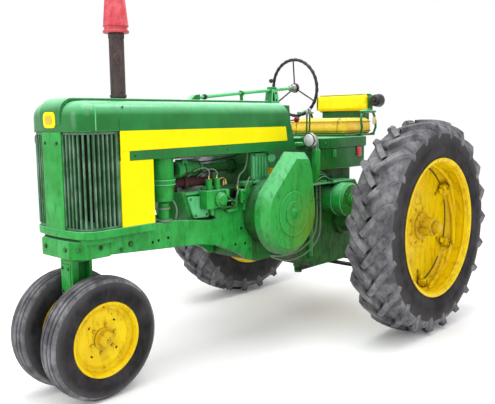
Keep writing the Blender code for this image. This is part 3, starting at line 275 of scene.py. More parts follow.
GREEN = Finish("green_enamel", (0.004, 0.125, 0.016), (0.01, 0.2, 0.036), roughness=0.26, coat=0.3,
    sheen=0.2, sun=0.9, fading=0.7, dirt=0.3, flecks=0.25, fleck=(0.1, 0.2, 0.1))
CASTING = Finish("green_castings", (0.008, 0.25, 0.026), (0.045, 0.45, 0.095), roughness=0.38,
    coat=0.15, sheen=0.2, sun=0.7, soot=0.85, crevice=0.06, patch=7.0, dirt=0.65, flecks=0.7,
    bump=0.35, grain=180.0, grime=(0.01, 0.04, 0.008), fleck=(0.016, 0.022, 0.01))
STAINED = replace(CASTING, name="stained_castings", tone=(0.11, 0.26, 0.02), faded=(0.15, 0.33,
    0.06), hub=(0.19, 0.8), fade=(0.02, 0.3), outer=(0.024, 0.34, 0.06))
# Oily dark green castings, made darker still as painted shade for the engine bay's gaps.
OILY_SHADED = Finish("oily_castings", (0.01, 0.12, 0.016), (0.03, 0.24, 0.04), roughness=0.5, sheen=0.25,
    sun=0.4, soot=0.95, crevice=0.09, patch=9.0, dirt=0.95, hollow=0.95, flecks=0.8, bump=0.4,
    grain=150.0, grime=(0.01, 0.013, 0.005), fleck=(0.014, 0.012, 0.006))
# Pale green; on the sill bead and the nose-side beads it is a painted highlight.
PALE_GREEN = Finish("bleached_green", (0.07, 0.44, 0.15), (0.18, 0.56, 0.29), roughness=0.45,
    patch=10.0, dirt=0.35, grime=(0.02, 0.06, 0.02))
YELLOW = Finish("yellow_enamel", (0.8, 0.69, 0.0), (0.86, 0.78, 0.001), roughness=0.36, fading=0.6,
    dirt=0.1, hollow=0.35, grime=(0.3, 0.2, 0.005), bump=0.08, sheen=0.1, slot="yellow_paint")
WHEEL_YELLOW = Finish("wheel_yellow", (0.72, 0.48, 0.0), (0.84, 0.68, 0.001), roughness=0.34,
    coat=0.05, patch=6.0, dirt=0.75, hollow=0.9, grime=(0.24, 0.135, 0.002), flecks=0.7,
    fleck_size=60.0, fleck=(0.14, 0.065, 0.006), sheen=0.15, slot="yellow_paint")
SOILED_YELLOW = Finish("soiled_hub_yellow", (0.64, 0.42, 0.002), (0.46, 0.28, 0.006),
    roughness=0.55, patch=12.0, dirt=0.9, hollow=0.9, grime=(0.11, 0.06, 0.005), flecks=0.9,
    fleck=(0.05, 0.026, 0.006), sheen=0.2, slot="yellow_paint")
# A lighter casting green; on the cover's rings it is a painted highlight.
LIGHT_CASTING = Finish("light_castings", (0.024, 0.36, 0.06), (0.08, 0.47, 0.14), roughness=0.42,
    patch=9.0, dirt=0.45, sheen=0.2, sun=0.5, grime=(0.012, 0.06, 0.012))
# Painted shade: a dark amber for the sheets in the rear wheels' openings.
SLOT_SHADE = Finish("wheel_grooves", (0.11, 0.07, 0.004), (0.18, 0.12, 0.006), roughness=0.7,
    patch=14.0, dirt=0.6, grime=(0.04, 0.025, 0.004), slot="yellow_paint")
DARK_YELLOW = Finish("medallion_amber", (0.56, 0.4, 0.002), (0.66, 0.5, 0.004), roughness=0.35,
    coat=0.2, patch=20.0, dirt=0.3, hollow=0.2, slot="yellow_paint")
TREAD = Finish("worn_tread_rubber", (0.085, 0.083, 0.092), (0.24, 0.236, 0.252), grime=(0.012,
    0.011, 0.011), roughness=0.8, patch=9.0, fading=0.9, dirt=0.7, hollow=1.0, crevice=0.06,
    flecks=0.5, fleck_size=130.0, fleck=(0.17, 0.16, 0.16), bump=0.6, grain=210.0, sheen=0.15,
    slot="tyre_rubber")
SIDEWALL = Finish("sidewall_rubber", (0.01, 0.009, 0.011), (0.042, 0.039, 0.044), grime=(0.06,
    0.055, 0.044), roughness=0.7, patch=6.0, fading=0.85, dirt=0.6, hollow=0.3, bump=0.5,
    grain=170.0, sheen=0.15, slot="tyre_rubber")
REAR_SIDEWALL = replace(SIDEWALL, name="rear_sidewall_rubber", hub=(0.933, 0.773), fade=(0.59,
    0.7), outer=(0.062, 0.058, 0.059))
FRONT_SIDEWALL = replace(SIDEWALL, name="front_sidewall_rubber", hub=(-1.353, 0.353), fade=(0.285,
    0.345))
RUST = Finish("rusty_stack", (0.06, 0.042, 0.046), (0.105, 0.072, 0.07), grime=(0.03, 0.016,
    0.012), roughness=0.85, patch=14.0, dirt=0.9, flecks=0.9, fleck_size=55.0, fleck=(0.17, 0.085,
    0.055), bump=0.9, grain=160.0, sheen=0.2, slot="rusty_steel")
RED_RUST = Finish("rusty_manifold", (0.06, 0.018, 0.018), (0.036, 0.014, 0.016), roughness=0.78,
    patch=18.0, dirt=0.6, bump=0.8, grain=160.0, sheen=0.2, slot="rusty_steel")
RED = Finish("red_cap_paint", (0.5, 0.04, 0.06), (0.62, 0.11, 0.13), roughness=0.5, coat=0.1,
    patch=16.0, fading=0.9, dirt=0.55, grime=(0.12, 0.01, 0.016), flecks=0.6, fleck=(0.12, 0.03,
    0.03), bump=0.25, sheen=0.25, slot="red_plastic")
KNOB_RED = Finish("knob_red", (0.2, 0.006, 0.016), (0.26, 0.02, 0.03), roughness=0.4, patch=30.0,
    dirt=0.3, slot="red_plastic")
REFLECTOR = Finish("red_reflector", (0.52, 0.008, 0.016), (0.64, 0.04, 0.04), roughness=0.18,
    coat=0.6, patch=30.0, dirt=0.15, hollow=0.1, slot="red_plastic")
BLACK = Finish("black_moulding", (0.008, 0.008, 0.009), (0.018, 0.018, 0.02), grime=(0.04, 0.036,
    0.03), roughness=0.32, coat=0.2, patch=14.0, dirt=0.3, hollow=0.2, slot="black_plastic")
DARK_STEEL = Finish("dark_steel_parts", (0.018, 0.02, 0.018), (0.045, 0.044, 0.04), roughness=0.55,
    metallic=0.3, patch=14.0, dirt=0.5, flecks=0.6, fleck=(0.06, 0.035, 0.022), bump=0.4,
    slot="dark_steel")
STEEL = Finish("handled_steel", (0.3, 0.3, 0.285), (0.43, 0.43, 0.41), grime=(0.06, 0.05, 0.035),
    roughness=0.36, metallic=1.0, patch=18.0, dirt=0.7, flecks=0.5, fleck=(0.1, 0.06, 0.035),
    bump=0.2, slot="bare_steel")
PIPE = Finish("pale_pipes", (0.15, 0.215, 0.15), (0.24, 0.3, 0.23), roughness=0.45, metallic=0.2,
    patch=16.0, dirt=0.6, grime=(0.03, 0.04, 0.02), slot="bare_steel")
BRASS = Finish("brass_fittings", (0.42, 0.3, 0.09), (0.56, 0.43, 0.19), roughness=0.32,
    metallic=1.0, patch=30.0, dirt=0.5, slot="bare_steel")
CHROME = Finish("lamp_shell", (0.48, 0.5, 0.5), (0.62, 0.64, 0.64), roughness=0.25, metallic=0.85,
    patch=20.0, dirt=0.5, grime=(0.08, 0.08, 0.07), bump=0.08)
LENS = Finish("lamp_lens", (0.42, 0.45, 0.46), (0.64, 0.67, 0.68), roughness=0.16, coat=1.0,
    patch=26.0, dirt=0.35, hollow=0.4, bump=0.5, grain=110.0, slot="lamp_chrome")
VINYL = Finish("yellow_vinyl", (0.8, 0.66, 0.001), (0.86, 0.78, 0.006), roughness=0.42, coat=0.1,
    patch=7.0, dirt=0.18, hollow=0.55, grime=(0.36, 0.18, 0.01), bump=0.35, grain=520.0,
    sheen=0.15, slot="seat_vinyl")
AMBER_VINYL = Finish("amber_vinyl", (0.78, 0.4, 0.004), (0.88, 0.62, 0.03), roughness=0.38,
    coat=0.2, patch=6.0, fading=0.95, dirt=0.35, hollow=0.7, grime=(0.5, 0.22, 0.01), bump=0.35,
    grain=520.0, sheen=0.25, sunned=(0.88, 0.68, 0.2), sun=0.7)
CREAM_VINYL = Finish("sunned_vinyl", (0.72, 0.6, 0.24), (0.8, 0.72, 0.4), roughness=0.45,
    patch=8.0, dirt=0.2, hollow=0.4, grime=(0.35, 0.2, 0.05), bump=0.35, grain=520.0,
    slot="seat_vinyl")
PIPING = Finish("brown_piping", (0.26, 0.13, 0.015), (0.38, 0.22, 0.03), roughness=0.5, patch=20.0,
    dirt=0.3, slot="seat_vinyl")
# Painted shade: a near-black finish for sheets and discs in openings, recesses and joints.
SHADOW = Finish("dark_openings", (0.004, 0.005, 0.004), (0.009, 0.01, 0.009), roughness=0.85,
    patch=20.0, dirt=0.2, hollow=0.0, bump=0.1, sheen=0.1)
CORE = Finish("radiator_core", (0.01, 0.01, 0.011), (0.026, 0.026, 0.026), roughness=0.75,
    patch=9.0, dirt=0.5, hollow=0.6, flecks=0.5, fleck=(0.06, 0.06, 0.06), bump=0.7, grain=320.0,
    sheen=0.15)
GRILLE_GREY = Finish("bleached_grille", (0.024, 0.13, 0.04), (0.15, 0.28, 0.18), roughness=0.42,
    coat=0.2, patch=11.0, fading=0.9, dirt=0.6, hollow=0.9, grime=(0.012, 0.032, 0.014))


# --- mesh building ---


def arc(centre: Point, radius: float, start: float, end: float, steps: int) -> Outline:
    """Points on a flat arc.

    Args:
        centre: The arc's centre.
        radius: Its radius.
        start: First angle in degrees.
        end: Last angle in degrees.
        steps: Number of pieces that the arc is cut into.

    Returns:
        The points, both ends included.
    """
    turns = [radians(start + (end - start) * step / steps) for step in range(steps + 1)]
    return [(centre[0] + radius * cos(turn), centre[1] + radius * sin(turn)) for turn in turns]


def eased(points: Sequence[Point], radius: float, steps: int = 3) -> list[Vector]:
    """A closed flat outline with its corners rounded.

    Args:
        points: The outline's corners.
        radius: How far from each corner the rounding starts.
        steps: Pieces in each rounded corner.

    Returns:
        The rounded outline.
    """
    knots = [Vector(point).to_3d() for point in points]
    rounded: list[Vector] = []
    for index, knot in enumerate(knots):
        before = knots[index - 1] - knot
        after = knots[(index + 1) % len(knots)] - knot
        reach = min(radius, before.length * 0.45, after.length * 0.45)
        first, last = knot + before.normalized() * reach, knot + after.normalized() * reach
        for step in range(steps + 1):
            share = step / steps
            rounded.append(first.lerp(knot, share).lerp(knot.lerp(last, share), share))
    return rounded


def smooth_path(points: Sequence[Point], steps: int = 6) -> list[Vector]:
    """A Catmull-Rom curve through the points.

    Args:
        points: The points to pass through.
        steps: Pieces between two points.

    Returns:
        Points along the curve.
    """
    knots = [Vector(point) for point in points]
    knots = [2 * knots[0] - knots[1], *knots, 2 * knots[-1] - knots[-2]]
    path: list[Vector] = []
    for index in range(1, len(knots) - 2):
        a, b, c, d = knots[index - 1:index + 3]
        for step in range(steps):
            t = step / steps
            path.append(0.5 * (2 * b + (c - a) * t + (2 * a - 5 * b + 4 * c - d) * t * t + (3 * b
                - a - 3 * c + d) * t * t * t))
    return [*path, knots[-2]]


def facing(axis: Point) -> Matrix:
    """A rotation that turns +Z to point along the axis."""
    return Vector(axis).to_track_quat("Z", "Y").to_matrix().to_4x4()


class Shape:
    """A mesh being built out of closed forms."""

    def __init__(self, place: Matrix | None = None) -> None:
        """Starts an empty mesh whose forms are laid out in the given place."""
        self.mesh = bmesh.new()
        self.place = place if place else Matrix.Identity(4)

    def loft(self, loops: Sequence[Sequence[Point]], ring: bool = False) -> "Shape":
        """Skins loops of equal length, and caps the two ends unless they join in a ring.

        Args:
            loops: The cross-sections in order.
            ring: Whether the last section joins the first.

        Returns:
            The shape, for chaining.
        """
        rows = [[self.mesh.verts.new(self.place @ Vector(point)) for point in loop]
            for loop in loops]
        count = len(rows[0])
        pairs = list(zip(rows, rows[1:]))
        if ring:
            pairs.append((rows[-1], rows[0]))
        for near, far in pairs:
            for i in range(count):
                j = (i + 1) % count
                self.mesh.faces.new((near[i], near[j], far[j], far[i]))
        if not ring:
            self.mesh.faces.new(rows[0])
            self.mesh.faces.new(rows[-1])
        return self

    def turned(self, profile: Sequence[Point], centre: Point = (0, 0, 0), axis: Point = Z,
            segments: int = 48, ring: bool = False) -> "Shape":
        """Turns a profile of (radius, along) points round an axis.

        Args:
            profile: The points, from one end to the other.
            centre: Where the axis starts.
            axis: The direction of the axis.
            segments: Flats round the axis.
            ring: Whether the profile closes on itself.

        Returns:
            The shape, for chaining.
        """
        lie = Matrix.Translation(Vector(centre)) @ facing(axis)
        turns = [2 * pi * step / segments for step in range(segments)]
        loops = [[lie @ Vector((radius * cos(turn), radius * sin(turn), along)) for turn in turns]
            for radius, along in profile]
        return self.loft(loops, ring)

    def box(self, low: Point, high: Point, bevel: float = 0.0, segments: int = 2) -> "Shape":
        """Adds a box between two corners.

        Args:
            low: The lowest corner.
            high: The highest corner.
            bevel: Rounding of the edges.
            segments: Pieces in each rounded edge.

        Returns:
            The shape, for chaining.
        """
        size, centre = Vector(high) - Vector(low), (Vector(high) + Vector(low)) / 2
        lie = self.place @ Matrix.Translation(centre) @ Matrix.Diagonal((*size, 1.0))
        made = bmesh.ops.create_cube(self.mesh, size=1.0, matrix=lie)
        if bevel:
            edges = list({edge for vert in made["verts"] for edge in vert.link_edges})
            bmesh.ops.bevel(self.mesh, geom=edges, offset=bevel, segments=segments, profile=0.5,
                affect="EDGES", clamp_overlap=True)
        return self

    def slab(self, outline: Sequence[Point], axis: Axis, low: float, high: float) -> "Shape":
        """Pushes a flat outline along an axis.

        Args:
            outline: Points in the other two coordinates, in the frame's order.
            axis: The direction of the push.
            low: Where the slab starts.
            high: Where it ends.

        Returns:
            The shape, for chaining.
        """
        def lay(point: Point, along: float) -> list[float]:
            """A flat point lifted to its place along the axis."""
            spot = list(point[:2])
            spot.insert(axis.value, along)
            return spot

        return self.loft([[lay(point, low) for point in outline], [lay(point, high)
            for point in outline]])

    def tube(self, points: Sequence[Point], radius: float | Sequence[float], sides: int = 12,
            steps: int = 6) -> "Shape":
        """Runs a round bar along a smooth path.

        Args:
            points: The points that the path passes through.
            radius: One radius, or one for each point of the smoothed path.
            sides: Flats round the bar.
            steps: Pieces between two points.

        Returns:
            The shape, for chaining.
        """
        path = smooth_path(points, steps) if steps > 1 else [Vector(point) for point in points]
        sizes = list(radius) if isinstance(radius, (list, tuple)) else [radius] * len(path)
        ahead = (path[1] - path[0]).normalized()
        side = ahead.orthogonal().normalized()
        loops: list[list[Vector]] = []
        for index, spot in enumerate(path):
            heading = path[min(index + 1, len(path) - 1)] - path[max(index - 1, 0)]
            heading.normalize()
            side = (side - heading * side.dot(heading)).normalized()
            up = heading.cross(side)
            loops.append([spot + (side * cos(turn) + up * sin(turn)) * sizes[index] for turn in (2
                * pi * step / sides for step in range(sides))])
        return self.loft(loops)

    def hoop(self, centre: Point, axis: Point, radius: float, thickness: float, segments: int = 64,
            sides: int = 10) -> "Shape":
        """Adds a round ring.

        Args:
            centre: The ring's centre.
            axis: The direction through it.
            radius: From the axis to the middle of the bar.
            thickness: Radius of the bar.
            segments: Flats round the ring.
            sides: Flats round the bar.

        Returns:
            The shape, for chaining.
        """
        profile = [(radius + thickness * cos(2 * pi * step / sides), thickness * sin(2 * pi * step
            / sides)) for step in range(sides)]
        return self.turned(profile, centre, axis, segments, ring=True)

    def bolt(self, spot: Point, out: Point, radius: float = 0.008, height: float = 0.006,
            washer: bool = True) -> "Shape":
        """Adds a hexagon bolt head that stands on a face.

        Args:
            spot: The foot of the head.
            out: The way that it points.
            radius: Half its width over the corners.
            height: Its height.
            washer: Whether it sits on a round washer.

        Returns:
            The shape, for chaining.
        """
        sink = -0.002
        if washer:
            self.turned([(radius * 1.35, sink), (radius * 1.35, 0.0012), (radius * 1.2, 0.0018)],
                spot, out, 18)
        crown = [(radius, sink), (radius, height * 0.8), (radius * 0.78, height)]
        return self.turned(crown, spot, out, 6)

    def thing(self, name: str) -> Thing:
        """Turns the mesh into a bare object of the given name.

        Args:
            name: The object's name.

        Returns:
            The object, linked to the scene.
        """
        bmesh.ops.recalc_face_normals(self.mesh, faces=self.mesh.faces)
        data = bpy.data.meshes.new(name)
        self.mesh.to_mesh(data)
        self.mesh.free()
        made = bpy.data.objects.new(name, data)
        bpy.context.scene.collection.objects.link(made)
        return made

    def piece(self, name: str, finish: Finish, body: str = "chassis", slot: str = "",
            bevel: float = 0.0, bevel_segments: int = 2, crease: float = 32.0, replaces: Iterable[
            str] = ()) -> None:
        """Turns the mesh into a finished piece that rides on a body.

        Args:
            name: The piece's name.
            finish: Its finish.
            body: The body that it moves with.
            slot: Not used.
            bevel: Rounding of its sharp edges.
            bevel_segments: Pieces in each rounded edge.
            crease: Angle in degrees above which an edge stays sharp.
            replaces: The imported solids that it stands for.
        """
        made = self.thing(name)
        data = made.data
        data.materials.append(finish.material())
        data.shade_smooth()
        data.set_sharp_from_angle(angle=radians(crease))
        if bevel:
            rounding = made.modifiers.new("Rounding", "BEVEL")
            rounding.width = bevel
            rounding.segments = bevel_segments
            rounding.limit_method = "ANGLE"
            rounding.angle_limit = radians(crease)
            rounding.harden_normals = True
        settle(made, body, replaces)


def settle(piece: Thing, body: str, replaces: Iterable[str] = ()) -> None:
    """Puts a finished piece on its body and says what it stands for.

    Args:
        piece: The piece, already in place.
        body: The body that it moves with.
        replaces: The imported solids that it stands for.
    """
    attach(piece, body)
    if replaces:
        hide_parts(*replaces)
    LOG.info("%s rides on %s with %d faces", piece.name, body, len(piece.data.polygons))


# --- wheels ---


@dataclass
class Wheel:
    """What every wheel and tyre has: its side, its place, and its pieces on one body."""

    side: Side
    place: Matrix

    def along(self, value: float) -> float:
        """A distance along the axle, outward on this side."""
        return self.side * value

    def spun(self, profile: Outline, segments: int) -> Shape:
        """Turns a closed profile of (radius, along) points round the axle.

        Args:
            profile: The points, with the outward way positive.
            segments: Flats round the axle.

        Returns:
            The mesh so far.
        """
        laid = [(radius, self.along(along)) for radius, along in profile]
        return Shape(self.place).turned(laid, axis=X, segments=segments, ring=True)

    def skin(self, rows: Outline, depth: float, squeeze: float, segments: int) -> Shape:
        """Makes a thin skin over a tyre out of half of its section.

        Args:
            rows: The (radius, along) points from the crown outward.
            depth: The skin's thickness.
            squeeze: Width of the inner face as a share of the outer one.
            segments: Flats round the axle.

        Returns:
            The mesh so far.
        """
        outer = [(radius, -along) for radius, along in reversed(rows[1:])] + rows
        inner = [(radius - depth, along * squeeze) for radius, along in reversed(outer)]
        return Shape(self.place).turned(outer + inner, axis=X, segments=segments, ring=True)

    def put(self, shape: Shape, name: str, finish: Finish, stands_for: str = "",
            **dress: object) -> None:
        """Turns a mesh into a piece of this wheel.

        Args:
            shape: The mesh.
            name: The piece's name without its side; it starts with the wheel's row.
            finish: Its finish.
            stands_for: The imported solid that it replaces, without its side.
            dress: Other arguments of Shape.piece.
        """
        row, word = name.split("_")[0], self.side.word
        replaced = [f"{stands_for}_{word}"] if stands_for else ()
        shape.piece(f"{name}_{word}", finish, f"{row}_wheel_{word}", replaces=replaced, **dress)


@dataclass
class RearTyre(Wheel):
    """A rear tyre: a rounded carcass with long bar lugs that meet in a chevron."""

    radius: float = 0.773
    half: float = 0.165
    bead: float = 0.4835
    bead_inset: float = 0.018
    lug_height: float = 0.034
    lugs: int = 22
    sweep: float = radians(13.5)
    segments: int = 132

    def section(self) -> Outline:
        """Half of the carcass section as (radius, along) points, from crown to bead.

        Returns:
            The profile's points in order.
        """
        crown = self.radius - self.lug_height
        return [(crown, 0.0), (crown - 0.001, 0.05), (crown - 0.006, 0.098), (crown - 0.018,
            0.132), (crown - 0.036, 0.149), (crown - 0.066, 0.158), (crown - 0.1, 0.1625),
            (crown - 0.135, self.half), (crown - 0.165, self.half - 0.001), (crown - 0.195,
            self.half - 0.004), (crown - 0.222, self.half - 0.011), (self.bead + 0.022, self.half
            - self.bead_inset + 0.001), (self.bead + 0.01, self.half - self.bead_inset),
            (self.bead, self.half - self.bead_inset)]

    def carcass(self) -> None:
        """The rubber body with its bead and two fine rings on each sidewall."""
        half = self.section()
        full = half + [(radius, -along) for radius, along in reversed(half[1:])]
        shape = Shape(self.place).turned(full, axis=X, segments=self.segments, ring=True)
        for sign in (1, -1):
            for radius, thick in ((self.bead + 0.034, 0.003), (self.bead + 0.11, 0.0022)):
                along = sign * (self.half - (0.0125 if radius < self.bead + 0.05 else 0.0012))
                shape.hoop((along, 0, 0), X, radius, thick, self.segments, 6)
        self.put(shape, "rear_tyre_carcass", REAR_SIDEWALL, crease=50, stands_for="rear_tyre")

    def tread_band(self) -> None:
        """The worn rubber between the lugs, a thin skin over the carcass."""
        rows = [(radius + 0.0012, along) for radius, along in self.section()[:6]]
        self.put(self.skin(rows, 0.01, 0.985, self.segments), "rear_tread_band", TREAD, crease=50)

    def lug_bars(self) -> None:
        """Every lug: a bar from past the crown to the shoulder, where it runs down and fades."""
        shape = Shape(self.place)
        foot = self.radius - self.lug_height
        # radius of the bar's foot, height above it, along the axle, share of the sweep
        path = [(foot, 0.033, -0.02, -0.12), (foot, 0.0338, 0.01, 0.06), (foot - 0.001, 0.0336,
            0.045, 0.3), (foot - 0.003, 0.033, 0.08, 0.56), (foot - 0.007, 0.032, 0.112, 0.8),
            (foot - 0.016, 0.03, 0.138, 0.96), (foot - 0.04, 0.015, 0.15, 1.06), (foot - 0.078,
            0.006, 0.159, 1.15), (foot - 0.092, 0.001, 0.16, 1.18)]
        lean = (0, 0, 0, 0, 0.25, 0.75, 1.25, 1.42, 1.5)
        step = 2 * pi / self.lugs
        for sign in (1, -1):
            for number in range(self.lugs):
                start = (number + (0.25 if sign > 0 else 0.75)) * step
                loops = []
                for index, (radius, height, along, share) in enumerate(path):
                    turn = start + self.sweep * share
                    spin = Matrix.Rotation(-turn, 4, "X") @ Vector(FORWARD)
                    out = Vector((sin(lean[index]) * sign, 0, 0)) + spin * cos(lean[index])
                    spot = spin * radius + Vector((sign * along, 0, 0))
                    around = Vector(X).cross(spin)
                    down = min(1.0, max(0.0, (foot - radius) / 0.05))
                    run = (Vector((sign * 0.66 * (1 - down), 0, 0)) - around * 0.6 - spin * 0.9
                        * down)
                    width = out.cross(run.normalized()).normalized()
                    base, tip = 0.032, 0.02
                    taper = 1.0 if 0 < index < 8 else 0.86
                    loops.append([spot - out * 0.004 - width * base * taper, spot + out * height
                        * 0.35 - width * (tip + 0.004) * taper, spot + out * height - width * tip
                        * taper, spot + out * height + width * tip * taper, spot + out * height
                        * 0.35 + width * (tip + 0.004) * taper, spot - out * 0.004 + width * base
                        * taper])
                shape.loft(loops)
        self.put(shape, "rear_lugs", TREAD, bevel=0.0032, crease=28)

    def build(self) -> None:
        """Makes the whole tyre."""
        self.carcass()
        self.tread_band()
        self.lug_bars()


@dataclass
class RearWheel(Wheel):
    """A rear wheel: rim, dished disc, hub, the rails inside the rim and their clamps."""

    rim: float = 0.483
    seat: float = 0.1473
    segments: int = 112
    clamps: int = 6

    def disc_and_rim(self) -> None:
        """The rim with its rolled edges and the pressed disc, turned in one piece."""
        rim, seat, flange, well = self.rim, self.seat, self.rim + 0.019, self.rim - 0.01
        profile = [(0.0425, -0.06), (0.108, -0.06), (0.25, -0.058), (0.38, -0.062), (rim - 0.022,
            -0.054), (rim - 0.014, -0.08), (well, -seat), (rim + 0.002, -seat - 0.007),
            (flange - 0.004, -seat - 0.011), (flange, -seat - 0.006), (flange - 0.002, -seat),
            (rim, -seat), (rim, seat), (flange - 0.002, seat), (flange, seat + 0.006),
            (flange - 0.004, seat + 0.011), (rim + 0.002, seat + 0.009), (well, seat - 0.002),
            (rim - 0.02, seat - 0.03), (rim - 0.011, seat - 0.045), (rim - 0.011, 0.045),
            (rim - 0.02, 0.03), (rim - 0.016, 0.01), (0.445, -0.034), (0.4, -0.038), (0.25, -0.04),
            (0.165, -0.032), (0.15, -0.02), (0.118, -0.012), (0.11, 0.0), (0.08, 0.006), (0.0425,
            0.006)]
        self.put(self.spun(profile, self.segments), "rear_rim", WHEEL_YELLOW, bevel=0.002,
            crease=24, stands_for="rear_wheel")

    def hub(self) -> None:
        """The tapered hub that clamps the axle, with its flange bolts and wedge screws."""
        profile = [(0.0425, -0.002), (0.104, -0.002), (0.104, 0.016), (0.094, 0.022), (0.078,
            0.03), (0.07, 0.06), (0.066, 0.098), (0.06, 0.107), (0.048, 0.109), (0.0425, 0.107)]
        shape = self.spun(profile, 48)
        out = self.side.out
        for number in range(8):
            turn = 2 * pi * (number + 0.5) / 8
            spot = (self.along(-0.022), 0.131 * cos(turn), 0.131 * sin(turn))
            shape.bolt(spot, out, 0.012, 0.014)
        for number in range(3):
            turn = 2 * pi * number / 3 + 0.5
            spot = (self.along(0.106), 0.0555 * cos(turn), 0.0555 * sin(turn))
            shape.bolt(spot, out, 0.0065, 0.008, washer=False)
        for turn in (0.2, 0.2 + pi):
            middle = Vector((self.along(0.06), 0.078 * cos(turn), 0.078 * sin(turn)))
            lie = self.place @ Matrix.Translation(middle) @ Matrix.Rotation(turn, 4, "X")
            Shape(lie).box((-0.036, -0.016, -0.014), (0.036, 0.016, 0.014),
                0.004).piece(f"rear_hub_ear_{self.side.word}_{int(turn)}", SOILED_YELLOW,
                f"rear_wheel_{self.side.word}")
        self.put(shape, "rear_hub", SOILED_YELLOW, bevel=0.0012)

    def rails(self) -> None:
        """The slanting rails welded inside the rim, which the clamps grip."""
        shape = Shape(self.place)
        depth, rise = 0.016, 0.011
        for number in range(self.clamps):
            middle = 2 * pi * (number + 0.5) / self.clamps
            loops = []
            for step in range(13):
                share = step / 12
                turn = middle + (share - 0.5) * radians(50)
                along = self.along(0.052 - 0.05 * share)
                fade = 0.25 if step in (0, 12) else 1.0
                spin = Matrix.Rotation(turn, 4, "X") @ Vector(Z)
                inner, outer = self.rim - 0.012 - 0.026 * fade, self.rim - 0.009
                loops.append([spin * outer + Vector((along - depth, 0, 0)), spin * (inner + rise
                    * 0.4) + Vector((along - depth * 0.8, 0, 0)), spin * inner + Vector((along
                    - depth * 0.45, 0, 0)), spin * inner + Vector((along + depth * 0.45, 0, 0)),
                    spin * (inner + rise * 0.4) + Vector((along + depth * 0.8, 0, 0)), spin * outer
                    + Vector((along + depth, 0, 0))])
            shape.loft(loops)
        self.put(shape, "rear_rails", WHEEL_YELLOW, bevel=0.002, crease=40)

    def rail_slots(self) -> None:
        """Thin dark sheets of painted shade in the openings between the disc's edge and the rails.
        """
        shape = Shape(self.place)
        for number in range(self.clamps):
            middle = 2 * pi * (number + 0.5) / self.clamps
            loops = []
            for step in range(11):
                turn = middle + (step / 10 - 0.5) * radians(40)
                spin = Matrix.Rotation(turn, 4, "X") @ Vector(Z)
                reach = 0.013 * sin(pi * (0.08 + 0.84 * step / 10))
                centre = spin * 0.4435 + Vector((self.along(-0.0335), 0, 0))
                lean = (spin + Vector((self.along(0.42), 0, 0))).normalized()
                skin = lean.cross(Vector(X).cross(spin)).normalized() * self.side.value
                loops.append([centre + lean * reach + skin * 0.0022, centre + lean * reach - skin
                    * 0.0022, centre - lean * reach - skin * 0.0022, centre - lean * reach + skin
                    * 0.0022])
            shape.loft(loops)
        self.put(shape, "rear_slots", SLOT_SHADE)

    def clamp_set(self) -> None:
        """The clamp blocks between the disc and the rails, with their bolts."""
        shape = Shape(self.place)
        out = Vector(self.side.out)
        for number in range(self.clamps):
            turn = 2 * pi * number / self.clamps + 0.1
            spin = Matrix.Rotation(turn, 4, "X")
            block = self.place @ spin @ Matrix.Translation((self.along(0.004), 0, 0.433))
            Shape(block).box((-0.03, -0.028, -0.022), (0.018, 0.028, 0.026), 0.006, 3).box((-0.026,
                -0.018, -0.058), (-0.006, 0.018, -0.014),
                0.004).piece(f"rear_clamp_{self.side.word}_{number}", WHEEL_YELLOW,
                f"rear_wheel_{self.side.word}")
            for across in (-0.015, 0.015):
                spot = spin @ Vector((self.along(0.022), across, 0.434))
                shape.bolt(spot, out, 0.01, 0.01)
            spot = spin @ Vector((self.along(-0.032), 0.0, 0.352))
            shape.bolt(spot, out, 0.01, 0.009)
        self.put(shape, "rear_clamp_bolts", SOILED_YELLOW, bevel=0.0008)

    def build(self) -> None:
        """Makes the whole wheel."""
        self.disc_and_rim()
        self.hub()
        self.rails()
        self.rail_slots()
        self.clamp_set()


@dataclass
class FrontTyre(Wheel):
    """A front tyre with worn circumferential ribs and a rounded sidewall."""

    radius: float = 0.353
    half: float = 0.0825
    bead: float = 0.2035
    bead_inset: float = 0.024
    segments: int = 96

    def section(self) -> Outline:
        """Half of the section as (radius, along) points, from crown to bead.

        Returns:
            The profile's points in order.
        """
        top = self.radius
        return [(top, 0.0), (top, 0.0125), (top - 0.003, 0.015), (top - 0.01, 0.0175), (top - 0.01,
            0.0225), (top - 0.003, 0.025), (top - 0.0015, 0.027), (top - 0.0035, 0.039),
            (top - 0.0065, 0.0412), (top - 0.014, 0.044), (top - 0.015, 0.049), (top - 0.0085,
            0.0515), (top - 0.0075, 0.053), (top - 0.0125, 0.061), (top - 0.018, 0.0655),
            (top - 0.027, 0.068), (top - 0.04, 0.0745), (top - 0.06, 0.08), (top - 0.08,
            self.half), (top - 0.1, self.half - 0.001), (top - 0.116, self.half - 0.005),
            (self.bead + 0.018, self.half - 0.015), (self.bead + 0.006, self.half
            - self.bead_inset), (self.bead, self.half - self.bead_inset)]

    def build(self) -> None:
        """Makes the sidewalls and the ribbed tread."""
        half = self.section()
        under = [(radius - (0.0025 if index < 15 else 0.0), along) for index, (radius,
            along) in enumerate(half)]
        full = under + [(radius, -along) for radius, along in reversed(under[1:])]
        body = Shape(self.place).turned(full, axis=X, segments=self.segments, ring=True)
        for sign in (1, -1):
            for radius, along, thick in ((self.bead + 0.026, 0.0705, 0.0018), (self.bead + 0.062,
                    0.0812, 0.0016)):
                body.hoop((sign * along, 0, 0), X, radius, thick, self.segments, 6)
        self.put(body, "front_tyre_carcass", FRONT_SIDEWALL, crease=55, stands_for="front_tyre")
        self.put(self.skin(half[:16], 0.008, 0.97, self.segments), "front_tread", TREAD, crease=55)


